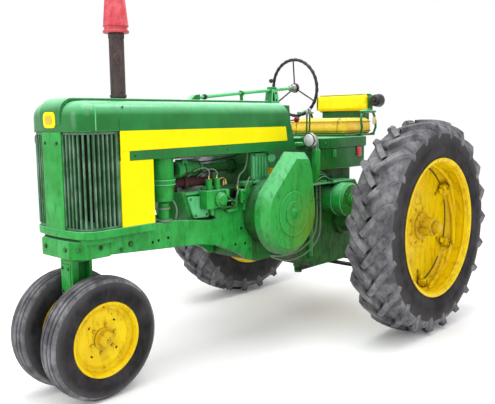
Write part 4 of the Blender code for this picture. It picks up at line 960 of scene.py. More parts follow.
@dataclass
class FrontWheel(Wheel):
    """A front wheel: the stepped rim, pressed disc, hub cap and bolts."""

    bead: float = 0.2032
    seat: float = 0.0588
    segments: int = 96

    def disc_and_rim(self) -> None:
        """The rim with rolled edges and the pressed disc."""
        bead, seat, flange = self.bead, self.seat, self.bead + 0.0155
        profile = [(0.0226, 0.026), (0.0226, -0.01), (0.046, -0.012), (0.15, 0.006), (0.168,
            -0.012), (0.18, -0.03), (bead - 0.01, -seat), (bead + 0.002, -seat - 0.006),
            (flange - 0.003, -seat - 0.009), (flange, -seat - 0.004), (flange - 0.002, -seat),
            (bead, -seat), (bead, seat), (flange - 0.002, seat), (flange, seat + 0.004),
            (flange - 0.003, seat + 0.009), (bead + 0.001, seat + 0.007), (bead - 0.005, seat),
            (bead - 0.01, seat - 0.012), (bead - 0.011, 0.034), (bead - 0.017, 0.029),
            (bead - 0.024, 0.027), (0.172, 0.0225), (0.166, 0.0245), (0.158, 0.0275), (0.14,
            0.0265), (0.112, 0.02), (0.098, 0.0215), (0.09, 0.0255), (0.07, 0.026)]
        self.put(self.spun(profile, self.segments), "front_rim", WHEEL_YELLOW, bevel=0.0012,
            crease=26, stands_for="front_wheel")

    def hub(self) -> None:
        """The hub with its cap, the wheel bolts round it, and dark discs of painted shade for the
        disc's holes.
        """
        profile = [(0.0226, -0.058), (0.045, -0.058), (0.045, 0.022), (0.062, 0.024), (0.062,
            0.032), (0.056, 0.036), (0.048, 0.037), (0.046, 0.054), (0.041, 0.062), (0.03, 0.067),
            (0.014, 0.069), (0.004, 0.0693), (0.004, 0.046), (0.0226, 0.044)]
        self.put(self.spun(profile, 48), "front_hub", SOILED_YELLOW, bevel=0.0012)
        bolts = Shape(self.place)
        out = self.side.out
        for number in range(6):
            turn = 2 * pi * (number + 0.3) / 6
            bolts.bolt((self.along(0.025), 0.08 * cos(turn), 0.08 * sin(turn)), out, 0.0105, 0.011)
        stem = [(self.along(0.03), 0.0, 0.184), (self.along(0.045), 0.0, 0.18)]
        self.put(bolts.tube(stem, 0.004, 10, 1), "front_bolts", SOILED_YELLOW, bevel=0.0008)
        holes = Shape(self.place)
        for number in range(4):
            turn = 2 * pi * (number + 0.55) / 4
            spot = (self.along(0.0215), 0.122 * cos(turn), 0.122 * sin(turn))
            holes.turned([(0.009, -0.002), (0.009, 0.0009), (0.008, 0.0012)], spot, out, 20)
        self.put(holes, "front_disc_holes", SHADOW, slot="yellow_paint")

    def build(self) -> None:
        """Makes the whole wheel."""
        self.disc_and_rim()
        self.hub()


# --- sheet metal ---


@dataclass
class NosePlan:
    """The plan of the hood and grille: straight sides, round corners and a bowed front."""

    half: float = 0.268
    front: float = -1.511
    corner: float = 0.1
    bow: float = 0.014

    def right_half(self, inset: float, rear_y: float, steps: int = 14) -> Outline:
        """Points from the left rear to the nose's middle.

        Args:
            inset: How far the plan is set in on every side.
            rear_y: Where the straight side ends.
            steps: Pieces in the round corner.

        Returns:
            The points with X from the half width down to 0.
        """
        half, front, corner = self.half - inset, self.front + inset, self.corner - inset
        centre = (half - corner, front + self.bow + corner)
        middle = [((half - corner) * step / 4, front + self.bow * (step / 4) ** 2) for step in (3,
            2, 1, 0)]
        return [(half, rear_y), *arc(centre, corner, 0, -90, steps), *middle]

    def whole(self, inset: float, rear_y: float) -> Outline:
        """The full plan from the left rear round the nose to the right rear."""
        half = self.right_half(inset, rear_y)
        return half + [(-x, y) for x, y in reversed(half[:-1])]


@dataclass
class Grille:
    """The pale bars between the slots, the column's bolts and the moulded lips."""

    plan: NosePlan = field(default_factory=NosePlan)
    inset: float = 0.009
    pitch: float = 0.0285
    slots: int = 12
    column: float = 0.096
    low: float = 0.9915
    high: float = 1.4935

    def spots(self, shift: float) -> list[tuple[Vector, Vector]]:
        """Places along the wrapped grille, with the way each faces.

        Args:
            shift: Offset along the grille, as a share of the pitch.

        Returns:
            Pairs of a point at the grille's skin and its outward direction, left side.
        """
        corner = self.plan.corner - self.inset
        flat = self.plan.half - self.plan.corner - self.column
        front = self.plan.front + self.inset + self.plan.bow
        found = []
        for number in range(self.slots + 1):
            travel = (number + shift) * self.pitch
            if travel < flat:
                x = self.column + travel
                sag = self.plan.bow * (1 - (x / (self.plan.half - self.plan.corner)) ** 2)
                found.append((Vector((x, front - sag, 0)), Vector(FORWARD)))
            elif travel < flat + corner * pi / 2:
                turn = (travel - flat) / corner
                out = Vector((sin(turn), -cos(turn), 0))
                centre = Vector((self.plan.half - self.plan.corner, front + corner, 0))
                found.append((centre + out * corner, out))
            else:
                back = travel - flat - corner * pi / 2
                spot = Vector((self.plan.half - self.inset, front + corner + back, 0))
                found.append((spot, Vector(X)))
        return found

    def bars(self) -> None:
        """A half-round moulding on each bar of the grille."""
        shape = Shape()
        width, rise = 0.0056, 0.0052
        for sign in (1, -1):
            for spot, out in self.spots(0.05):
                spot, out = Vector((spot.x * sign, spot.y, 0)), Vector((out.x * sign, out.y, 0))
                across = Vector((-out.y, out.x, 0))
                section = [across * width * cos(turn) + out * (rise * sin(turn) - 0.0002)
                    for turn in (pi * step / 8 for step in range(9))]
                section += [-across * width - out * 0.004, across * width - out * 0.004]
                shape.loft([[spot + point + Vector((0, 0, self.low + 0.003)) for point in section],
                    [spot + point + Vector((0, 0, self.high - 0.003)) for point in section]])
        shape.piece("grille_bars", GRILLE_GREY, crease=60)

    def lip(self) -> None:
        """The rolled lip under the nose, just proud of the grille."""
        plan = self.plan.whole(0.0015, -1.2525)
        path = [(x, y, 1.5105) for x, y in plan]
        Shape().tube(path, 0.003, 10, 1).piece("nose_lip_bead", OILY_SHADED, crease=60)

    def sill_bead(self) -> None:
        """A pale bead along the top of the sill, painted as the highlight on its edge."""
        plan = self.plan.whole(0.003, -1.03)
        Shape().tube([(x, y, 0.9752) for x, y in plan], 0.0028, 10, 1).piece("sill_edge_bead",
            PALE_GREEN, crease=60)

    def bolts(self) -> None:
        """The two round bolts near the top of the centre strip."""
        shape = Shape()
        for x in (-0.058, 0.058):
            y = self.plan.front - 0.002 + self.plan.bow * (x / 0.168) ** 2
            shape.turned([(0.0095, -0.002), (0.0095, 0.002), (0.007, 0.005), (0.003, 0.006)],
                (x, y + 0.0005, 1.448), FORWARD, 20)
        shape.piece("nose_strip_bolts", DARK_STEEL)

    def build(self) -> None:
        """Dresses the grille."""
        self.bars()
        self.lip()
        self.sill_bead()
        self.bolts()


@dataclass
class HoodTrim:
    """What is laid on the hood: stripes, the blank medallion, seams and small screws."""

    plan: NosePlan = field(default_factory=NosePlan)
    side_x: float = 0.268
    band: float = 0.102
    top: float = 1.692

    def stripe(self, side: Side) -> None:
        """The long yellow stripe, slightly tapering towards the rear.

        Args:
            side: The side of the tractor that it is on.
        """
        sign = side.value
        outline = [(-1.248, 1.397), (0.181, 1.412), (0.166, 1.5095), (-1.248, 1.5095)]
        shape = Shape()
        rows = eased(outline, 0.006)
        skin = [(sign * (self.side_x - 0.001), p.x, p.y) for p in rows]
        face = [(sign * (self.side_x + 0.0006), p.x, p.y) for p in rows]
        shape.loft([skin, face]).piece(f"hood_stripe_{side.word}", YELLOW)

    def seam(self, side: Side) -> None:
        """The pressed bead down the side of the nose, pale as a painted highlight, and the joint
        of the nose casting.

        Args:
            side: The side of the tractor that it is on.
        """
        sign = side.value
        shape = Shape()
        x = sign * (self.side_x - 0.0035)
        shape.tube([(x, -1.4, 1.514), (x, -1.4, 1.57), (sign * 0.262, -1.397, 1.612),
            (sign * 0.243, -1.394, 1.645)], 0.005, 12).piece(f"nose_side_bead_{side.word}",
            PALE_GREEN, crease=60)
        Shape().box((x - 0.0034, -1.2512, 1.3465), (x + 0.0038, -1.2494, 1.58)).piece(
            f"hood_joint_{side.word}", SHADOW)

    def creases(self) -> None:
        """The dark shadow line on each side of the raised band, over the nose and the top."""
        shape = Shape()
        roll, front = 0.085, self.plan.front - 0.003
        brow = arc((front + roll, self.top - roll), roll, 178, 92, 10)
        for sign in (1, -1):
            x = sign * (self.band + 0.0006)
            path = [(x, y + 0.0125, z - 0.0095) for y, z in brow]
            path = [(x, front + 0.015, 1.567), *path, (x, -1.25, 1.6755), (x, 0.16, 1.6755)]
            shape.tube(path, 0.0022, 8, 1)
        shape.piece("hood_band_creases", OILY_SHADED, crease=60)

    def medallion(self) -> None:
        """The blank rounded medallion on the nose, with its darker middle."""
        y = self.plan.front - 0.003
        for name, half_x, half_z, rise, finish in (("nose_medallion", 0.06, 0.043, 0.003, YELLOW),
                ("nose_medallion_field", 0.036, 0.026, 0.0044, DARK_YELLOW)):
            corners = [(-half_x, 1.573 - half_z, 0), (half_x, 1.573 - half_z, 0), (half_x,
                1.573 + half_z, 0), (-half_x, 1.573 + half_z, 0)]
            rows = eased(corners, half_z * 0.75, 6)
            Shape().loft([[(p.x, y + 0.003, p.y) for p in rows], [(p.x, y - rise * 0.55, p.y)
                for p in rows], [(p.x * 0.94, y - rise, 1.573 + (p.y - 1.573) * 0.94)
                for p in rows]]).piece(name, finish, crease=40)

    def screws(self) -> None:
        """The screws of the side strip and the hood's joints."""
        shape = Shape()
        for side in Side:
            for y, z in ((-1.15, 1.368), (-0.42, 1.372), (0.13, 1.375), (-1.215, 1.64)):
                x = side * (self.side_x - (0.012 if z > 1.6 else 0.0))
                shape.turned([(0.006, -0.002), (0.006, 0.0008), (0.0042, 0.0024)], (x, y, z),
                    (side.value, 0, 0.6 if z > 1.6 else 0), 16)
        shape.piece("hood_screws", DARK_STEEL)

    def build(self) -> None:
        """Lays every trim piece on the hood."""
        for side in Side:
            self.stripe(side)
            self.seam(side)
        self.creases()
        self.medallion()
        self.screws()


# --- seat ---


@dataclass
class Pad:
    """A stuffed vinyl pad that is blown up by cloth simulation and then crowned."""

    name: str
    low: Spot
    high: Spot
    finish: Finish
    node: str
    cap: float = 0.012
    held_below: float = 0.01

    def shell(self) -> Thing:
        """The start shape: a rounded box a little smaller than the finished pad.

        Returns:
            The cushion's object.
        """
        inset = Vector((0.006, 0.006, 0.0))
        low, high = Vector(self.low) + inset, Vector(self.high) - inset
        high.z -= 0.01
        return Shape().box(low, high, 0.026, 4).thing(self.name)

    def remesh(self, pad: Thing) -> None:
        """Gives the pad an even mesh.

        Args:
            pad: The cushion's object.
        """
        voxels = pad.modifiers.new("Voxels", "REMESH")
        voxels.mode = "VOXEL"
        voxels.voxel_size = 0.006
        self.apply(pad)

    def apply(self, pad: Thing) -> None:
        """Writes the modifiers' result into the pad's mesh.

        Args:
            pad: The cushion's object.
        """
        bpy.context.view_layer.update()
        drawn = pad.evaluated_get(bpy.context.evaluated_depsgraph_get())
        data = bpy.data.meshes.new_from_object(drawn)
        pad.modifiers.clear()
        pad.data = data

    def inflate(self, pad: Thing) -> None:
        """Blows the pad up with its underside held, and limits how far a point moves.

        Args:
            pad: The cushion's object.
        """
        rest = [vertex.co.copy() for vertex in pad.data.vertices]
        held = pad.vertex_groups.new(name="held")
        floor = self.low[2] + self.held_below
        held.add([i for i, spot in enumerate(rest) if spot.z < floor], 1.0, "REPLACE")
        cloth = pad.modifiers.new("Cloth", "CLOTH")
        cloth.settings.quality = 5
        cloth.settings.mass = 0.4
        cloth.settings.tension_stiffness = 12
        cloth.settings.compression_stiffness = 12
        cloth.settings.use_pressure = True
        cloth.settings.uniform_pressure_force = 4.0
        cloth.settings.vertex_group_mass = "held"
        cloth.settings.effector_weights.gravity = 0.0
        cloth.point_cache.frame_start = 1
        cloth.point_cache.frame_end = 20
        scene = bpy.context.scene
        for number in range(1, 21):
            scene.frame_set(number)
        drawn = pad.evaluated_get(bpy.context.evaluated_depsgraph_get())
        moved = [vertex.co.copy() for vertex in drawn.data.vertices]
        pad.modifiers.clear()
        for vertex, before, after in zip(pad.data.vertices, rest, moved):
            shift = after - before
            if shift.length > self.cap:
                shift *= self.cap / shift.length
            vertex.co = before + shift
        scene.frame_set(1)

    def crown(self, pad: Thing) -> None:
        """Crowns the top and pulls the sides in between the corners, inside the pad's box.

        Args:
            pad: The cushion's object.
        """
        low, high = Vector(self.low), Vector(self.high)
        middle, half = (low + high) / 2, (high - low) / 2
        for vertex in pad.data.vertices:
            across = (vertex.co.x - middle.x) / half.x
            deep = (vertex.co.y - middle.y) / half.y
            tall = (vertex.co.z - low.z) / (high.z - low.z)
            vertex.co.z += 0.006 * max(0.0, tall) * (1 - across ** 2) * (1 - deep ** 2)
            vertex.co.x -= 0.003 * across * (1 - deep ** 2) * (1 - abs(2 * tall - 1))
            for index in range(3):
                vertex.co[index] = min(max(vertex.co[index], low[index]), high[index])

    def build(self) -> None:
        """Makes the pad."""
        pad = self.shell()
        self.remesh(pad)
        self.inflate(pad)
        self.crown(pad)
        pad.data.materials.clear()
        pad.data.materials.append(self.finish.material())
        pad.data.shade_smooth()
        finer = pad.modifiers.new("Subdivision", "SUBSURF")
        finer.levels = finer.render_levels = 1
        settle(pad, "chassis", [self.node])


@dataclass
class Seat:
    """The two pads with their piping, the armrest pads, and the lamp beside the back."""

    cushion_low: Spot = (-0.284, 0.868, 1.4388)
    cushion_high: Spot = (0.284, 1.2617, 1.5636)
    back_low: Spot = (-0.26, 1.2067, 1.62)
    back_high: Spot = (0.26, 1.2717, 1.762)

    def band(self, shape: Shape, low: Point, high: Point, z: float, inset: float) -> None:
        """Runs a piping cord round a pad at one height.

        Args:
            shape: The mesh that takes the cord.
            low: The pad's lowest corner.
            high: The pad's highest corner.
            z: The cord's height.
            inset: How far the cord lies inside the pad's box.
        """
        corners = [(low[0] + inset, low[1] + inset, z), (high[0] - inset, low[1] + inset, z),
            (high[0] - inset, high[1] - inset, z), (low[0] + inset, high[1] - inset, z)]
        path = eased(corners, 0.03, 5)
        shape.tube([*path, path[0]], 0.003, 8, 1)

    def piping(self) -> None:
        """The cords along the cushion's and the back's edges, and the seams near the ends."""
        shape = Shape()
        low, high = self.cushion_low, self.cushion_high
        self.band(shape, low, high, low[2] + 0.022, 0.0045)
        self.band(shape, low, high, high[2] - 0.03, 0.006)
        for x in (-0.205, 0.205):
            shape.tube([(x, low[1] + 0.005, low[2] + 0.012), (x, low[1] + 0.0035, 1.485),
                (x, low[1] + 0.007, 1.53), (x, low[1] + 0.024, 1.5525), (x, low[1] + 0.09, 1.561),
                (x, 1.065, 1.564), (x, high[1] - 0.06, 1.56)], 0.0026, 8)
        shape.piece("seat_piping", PIPING, crease=70)

    def back_piping(self) -> None:
        """The cord round the face of the back pad."""
        shape = Shape()
        low, high = self.back_low, self.back_high
        y = low[1] + 0.012
        corners = [(low[0] + 0.006, y, low[2] + 0.006), (high[0] - 0.006, y, low[2] + 0.006),
            (high[0] - 0.006, y, high[2] - 0.007), (low[0] + 0.006, y, high[2] - 0.007)]
        path = eased(corners, 0.028, 5)
        shape.tube([*path, path[0]], 0.0024, 8, 1).piece("back_piping", VINYL, crease=70)

    def arm_pads(self) -> None:
        """The rounded green pads over the armrest tubes."""
        shape = Shape()
        for side in Side:
            x = side * 0.316
            rows = []
            for y, wide, tall in ((1.036, 0.01, 0.006), (1.042, 0.017, 0.01), (1.07, 0.02, 0.012),
                    (1.205, 0.02, 0.012), (1.236, 0.017, 0.01), (1.242, 0.01, 0.006)):
                rows.append([(x + wide * cos(2 * pi * step / 16), y, 1.612 + tall * sin(2 * pi
                    * step / 16)) for step in range(16)])
            shape.loft(rows)
        shape.piece("armrest_pads", GREEN, crease=60)

    def arm_ends(self) -> None:
        """The pale worn cap on the rear leg of each armrest."""
        shape = Shape()
        for side in Side:
            shape.turned([(0.0115, 0.0), (0.0135, 0.003), (0.0135, 0.052), (0.0115, 0.056)],
                (side * 0.315, 1.233, 1.512), Z, 20)
        shape.piece("armrest_sleeves", CREAM_VINYL)

    def back_frame(self) -> None:
        """The pressed frame behind the back pad, with its side brackets."""
        shape = Shape().slab(eased([(-0.268, 1.612), (0.268, 1.612), (0.268, 1.758), (-0.268,
            1.758)], 0.03, 5), Axis.Y, 1.2725, 1.2865)
        for x in (-0.262, 0.262):
            shape.box((x - 0.0045, 1.232, 1.63), (x + 0.0045, 1.286, 1.742), 0.002)
        shape.box((-0.235, 1.2725, 1.44), (-0.15, 1.285, 1.64), 0.004).box((0.15, 1.2725, 1.44),
            (0.235, 1.285, 1.64), 0.004).piece("seat_back_frame", GREEN, bevel=0.002)

    def rear_lamp(self) -> None:
        """The round black lamp that looks back past the seat, on its bracket."""
        centre = (0.33, 1.254, 1.7)
        Shape().turned([(0.032, -0.046), (0.046, -0.036), (0.052, -0.01), (0.0535, 0.01), (0.0535,
            0.028), (0.051, 0.032), (0.044, 0.032), (0.043, 0.026)], centre, Y, 40).tube([(0.268,
            1.276, 1.69), (0.29, 1.276, 1.69), (0.305, 1.27, 1.694)], 0.007, 12).turned([(0.012,
            -0.006), (0.012, 0.01), (0.006, 0.016)], (0.33, 1.208, 1.7), FORWARD,
            20).piece("rear_work_lamp", BLACK, bevel=0.001)
        Shape().turned([(0.0425, 0.022), (0.0425, 0.028), (0.034, 0.033), (0.018, 0.036), (0.006,
            0.037)], centre, Y, 40).piece("rear_work_lamp_lens", LENS, crease=60)

    def box_details(self) -> None:
        """The reflector, the latch and the bolts on the box under the seat."""
        Shape().box((0.3105, 0.985, 1.262), (0.3215, 1.045, 1.338), 0.006,
            3).piece("side_reflector", REFLECTOR)
        parts = Shape()
        for side in Side:
            for y in (0.56, 0.8, 1.06):
                parts.bolt((side * 0.3218, y, 1.38), side.out, 0.006, 0.004)
            parts.box((side * 0.316 - 0.006, 0.66, 1.268), (side * 0.316 + 0.006, 0.7, 1.326),
                0.003)
        for x in (-0.2, 0.0, 0.2):
            parts.bolt((x, 0.5078, 1.38), FORWARD, 0.006, 0.004).bolt((x, 1.1152, 1.38), Y, 0.006,
                0.004)
        parts.piece("seat_box_fittings", CASTING, bevel=0.0008)
        Shape().box((-0.3104, 0.5196, 1.337), (0.3104, 1.1034, 1.3398)).piece("seat_box_shadow",
            SHADOW)

    def build(self) -> None:
        """Makes the whole seat."""
        Pad("seat_cushion_pad", self.cushion_low, self.cushion_high, AMBER_VINYL,
            "seat_cushion").build()
        Pad("seat_back_pad", self.back_low, self.back_high, VINYL, "seat_back", cap=0.008).build()
        self.piping()
        self.back_piping()
        self.arm_pads()
        self.arm_ends()
        self.back_frame()
        self.rear_lamp()
        self.box_details()


# --- controls and lamps ---


@dataclass
class Controls:
    """The steering wheel's fittings, the levers and the dials."""

    hub: Spot = (0.0, 0.6, 1.797)
    slope: float = radians(4.9)
    rim: float = 0.212

    def wheel_place(self) -> Matrix:
        """The steering wheel's own frame: its Y runs along the shaft."""
        return Matrix.Translation(self.hub) @ Matrix.Rotation(self.slope, 4, "X")

    def wheel_fittings(self) -> None:
        """The finger grips, the hub cap, the nut and the spinner knob."""
        place = self.wheel_place()
        grips = Shape(place)
        for number in range(28):
            turn = 2 * pi * (number + 0.5) / 28
            spot = Vector((cos(turn), 0, sin(turn))) * self.rim
            run = Vector((-sin(turn), 0, cos(turn)))
            grips.turned([(0.0108, -0.016), (0.0124, -0.01), (0.0128, 0.0), (0.0124, 0.01),
                (0.0108, 0.016)], spot, run, 14)
        grips.piece("steering_wheel_grips", BLACK, "steering_wheel", crease=60)
        Shape(place).turned([(0.034, -0.011), (0.037, -0.004), (0.037, 0.01), (0.03, 0.02), (0.018,
            0.0255), (0.005, 0.027)], (0, 0, 0), Y, 36).turned([(0.01, 0.026), (0.01, 0.032),
            (0.006, 0.034)], (0, 0, 0), Y, 6).piece("steering_wheel_cap", BLACK, "steering_wheel",
            crease=40)
        Shape(place).turned([(0.014, -0.066), (0.021, -0.058), (0.022, -0.034), (0.03, -0.026),
            (0.033, -0.015), (0.024, -0.013)], (0, 0, 0), Y, 32).piece("steering_wheel_collar",
            STEEL, "steering_wheel", crease=40)
        knob = Shape(place)
        turn = radians(162)
        spot = Vector((cos(turn) * self.rim, -0.01, sin(turn) * self.rim))
        knob.turned([(0.007, 0.0), (0.007, 0.012), (0.014, 0.018), (0.017, 0.028), (0.014, 0.038),
            (0.006, 0.042)], spot, FORWARD, 24).piece("steering_wheel_knob", BLACK,
            "steering_wheel", crease=40)

    def shaft_fittings(self) -> None:
        """The bracket's cheek plates with a dark sheet of painted shade on each, the clamp over
        the shaft and its bolts.
        """
        shape = Shape()
        for side in Side:
            outline = [(0.286, 1.68), (0.372, 1.68), (0.356, 1.772), (0.302, 1.782)]
            near, far = side.span(0.0262, 0.0345)
            shape.slab(eased(outline, 0.01, 3), Axis.X, near, far)
        shape.turned([(0.016, -0.02), (0.0195, -0.016), (0.0195, 0.016), (0.016, 0.02)], (0, 0.33,
            1.7735), (0, cos(self.slope), sin(self.slope)), 28).piece("steering_bracket_plates",
            PALE_GREEN, bevel=0.0015)
        # Painted shade: a thin dark sheet on each cheek plate stands for the shade in a pocket.
        pocket_shade = Shape()
        for side in Side:
            outline = [(0.3, 1.692), (0.322, 1.692), (0.318, 1.752), (0.306, 1.758)]
            near, far = side.span(0.034, 0.0352)
            pocket_shade.slab(eased(outline, 0.006, 3), Axis.X, near, far)
        pocket_shade.piece("steering_bracket_pockets", SHADOW)
        bolts = Shape()
        for side in Side:
            for y, z in ((0.34, 1.7), (0.336, 1.752)):
                bolts.bolt((side * 0.0345, y, z), side.out, 0.006, 0.005)
        start = Vector((0, 0.6 - 0.6 * cos(self.slope), 1.797 - 0.6 * sin(self.slope)))
        along = Vector((0, cos(self.slope), sin(self.slope)))
        bolts.turned([(0.015, -0.012), (0.0175, -0.01), (0.0175, 0.01), (0.015, 0.012)],
            start - along * 0.36, along, 24).piece("steering_shaft_fittings", DARK_STEEL,
            bevel=0.0006)

    def levers(self) -> None:
        """The hand levers beside the dash, with worn bright tops."""
        rods, tips = Shape(), Shape()
        for x, y, top in ((0.232, 0.452, 1.628), (0.206, 0.52, 1.64)):
            rods.tube([(x + 0.004, y - 0.01, 1.4205), (x + 0.003, y - 0.006, 1.5), (x, y,
                top - 0.046)], 0.0065, 12)
            tips.turned([(0.007, 0.0), (0.0095, 0.006), (0.011, 0.03), (0.0085, 0.044), (0.004,
                0.048)], (x, y, top - 0.048), (0, 0.05, 1), 20)
        rods.box((0.196, 0.43, 1.4202), (0.25, 0.519, 1.432), 0.004).box((0.19, 0.417, 1.33),
            (0.252, 0.5075, 1.426), 0.006).piece("hand_levers", OILY_SHADED, crease=50)
        tips.piece("hand_lever_tips", STEEL, crease=50)
        Shape().box((0.192, 0.33, 1.365), (0.25, 0.42, 1.392), 0.006).tube([(0.221, 0.335, 1.378),
            (0.221, 0.3, 1.378), (0.205, 0.262, 1.372)], 0.007).piece("lever_gate", CASTING,
            bevel=0.001)

    def dials(self) -> None:
        """The dials and the pull knobs on the rear face of the cowl."""
        bezel, face, knobs = Shape(), Shape(), Shape()
        out = Vector((0, 1, -0.1)).normalized()
        for x in (-0.078, -0.026, 0.026, 0.078):
            spot = Vector((x, 0.3985, 1.62))
            bezel.turned([(0.0235, -0.004), (0.0235, 0.004), (0.0215, 0.007), (0.0195, 0.007),
                (0.019, 0.003)], spot, out, 36)
            face.turned([(0.0188, 0.0), (0.0188, 0.0038), (0.015, 0.005), (0.004, 0.0054)], spot,
                out, 36)
        for x, z in ((-0.06, 1.58), (0.0, 1.578), (0.06, 1.58)):
            knobs.turned([(0.004, -0.004), (0.004, 0.012), (0.01, 0.015), (0.011, 0.022), (0.007,
                0.026)], (x, 0.4005, z), out, 20)
        bezel.piece("dial_bezels", STEEL, crease=40)
        face.piece("dial_faces", BLACK, crease=60)
        knobs.piece("dash_knobs", BLACK, crease=40)
        Shape().turned([(0.006, -0.008), (0.006, 0.01), (0.018, 0.014), (0.022, 0.026), (0.016,
            0.038), (0.006, 0.042)], (0.134, 0.425, 1.553), (0.15, 1.0, 0.1), 24).tube([(0.128,
            0.38, 1.548), (0.131, 0.405, 1.551), (0.134, 0.425, 1.553)], 0.005).piece("stop_knob",
            KNOB_RED, crease=40)

    def build(self) -> None:
        """Makes every control."""
        self.wheel_fittings()
        self.shaft_fittings()
        self.levers()
        self.dials()


@dataclass
class Lamps:
    """The two headlights: lens, dark rim, post and wiring."""

    x: float = 0.355
    y: float = 0.343
    z: float = 1.41

    def build(self) -> None:
        """Dresses both headlights."""
        for side in Side:
            x, word = side * self.x, side.word
            spot = (x, self.y, self.z)
            Shape().turned([(0.045, 0.02), (0.045, 0.03), (0.04, 0.0365), (0.028, 0.042), (0.014,
                0.0448), (0.004, 0.0455)], spot, FORWARD, 48).piece(f"headlight_lens_{word}", LENS,
                crease=60)
            Shape().hoop((x, self.y - 0.0275, self.z), Y, 0.0475, 0.0042, 56,
                10).piece(f"headlight_rim_{word}", BLACK, crease=60)
            Shape().tube([(x, self.y + 0.07, self.z - 0.01), (x, self.y + 0.074, 1.36),
                (x, self.y + 0.074, 1.3), (x, self.y + 0.07, 1.1)], 0.011, 14).box((x - 0.02,
                self.y + 0.03, 1.102), (x + 0.02, self.y + 0.084, 1.345), 0.005).bolt((x,
                self.y + 0.03, 1.33), FORWARD, 0.007, 0.005).piece(f"headlight_post_{word}",
                CASTING, bevel=0.001)
            Shape().tube([(x, self.y + 0.058, self.z - 0.006), (x + 0.006, self.y + 0.092, 1.38),
                (x, self.y + 0.093, 1.3), (x, self.y + 0.092, 1.11)], 0.0035,
                8).piece(f"headlight_wire_{word}", BLACK, crease=60)


# --- engine, frame and cases ---


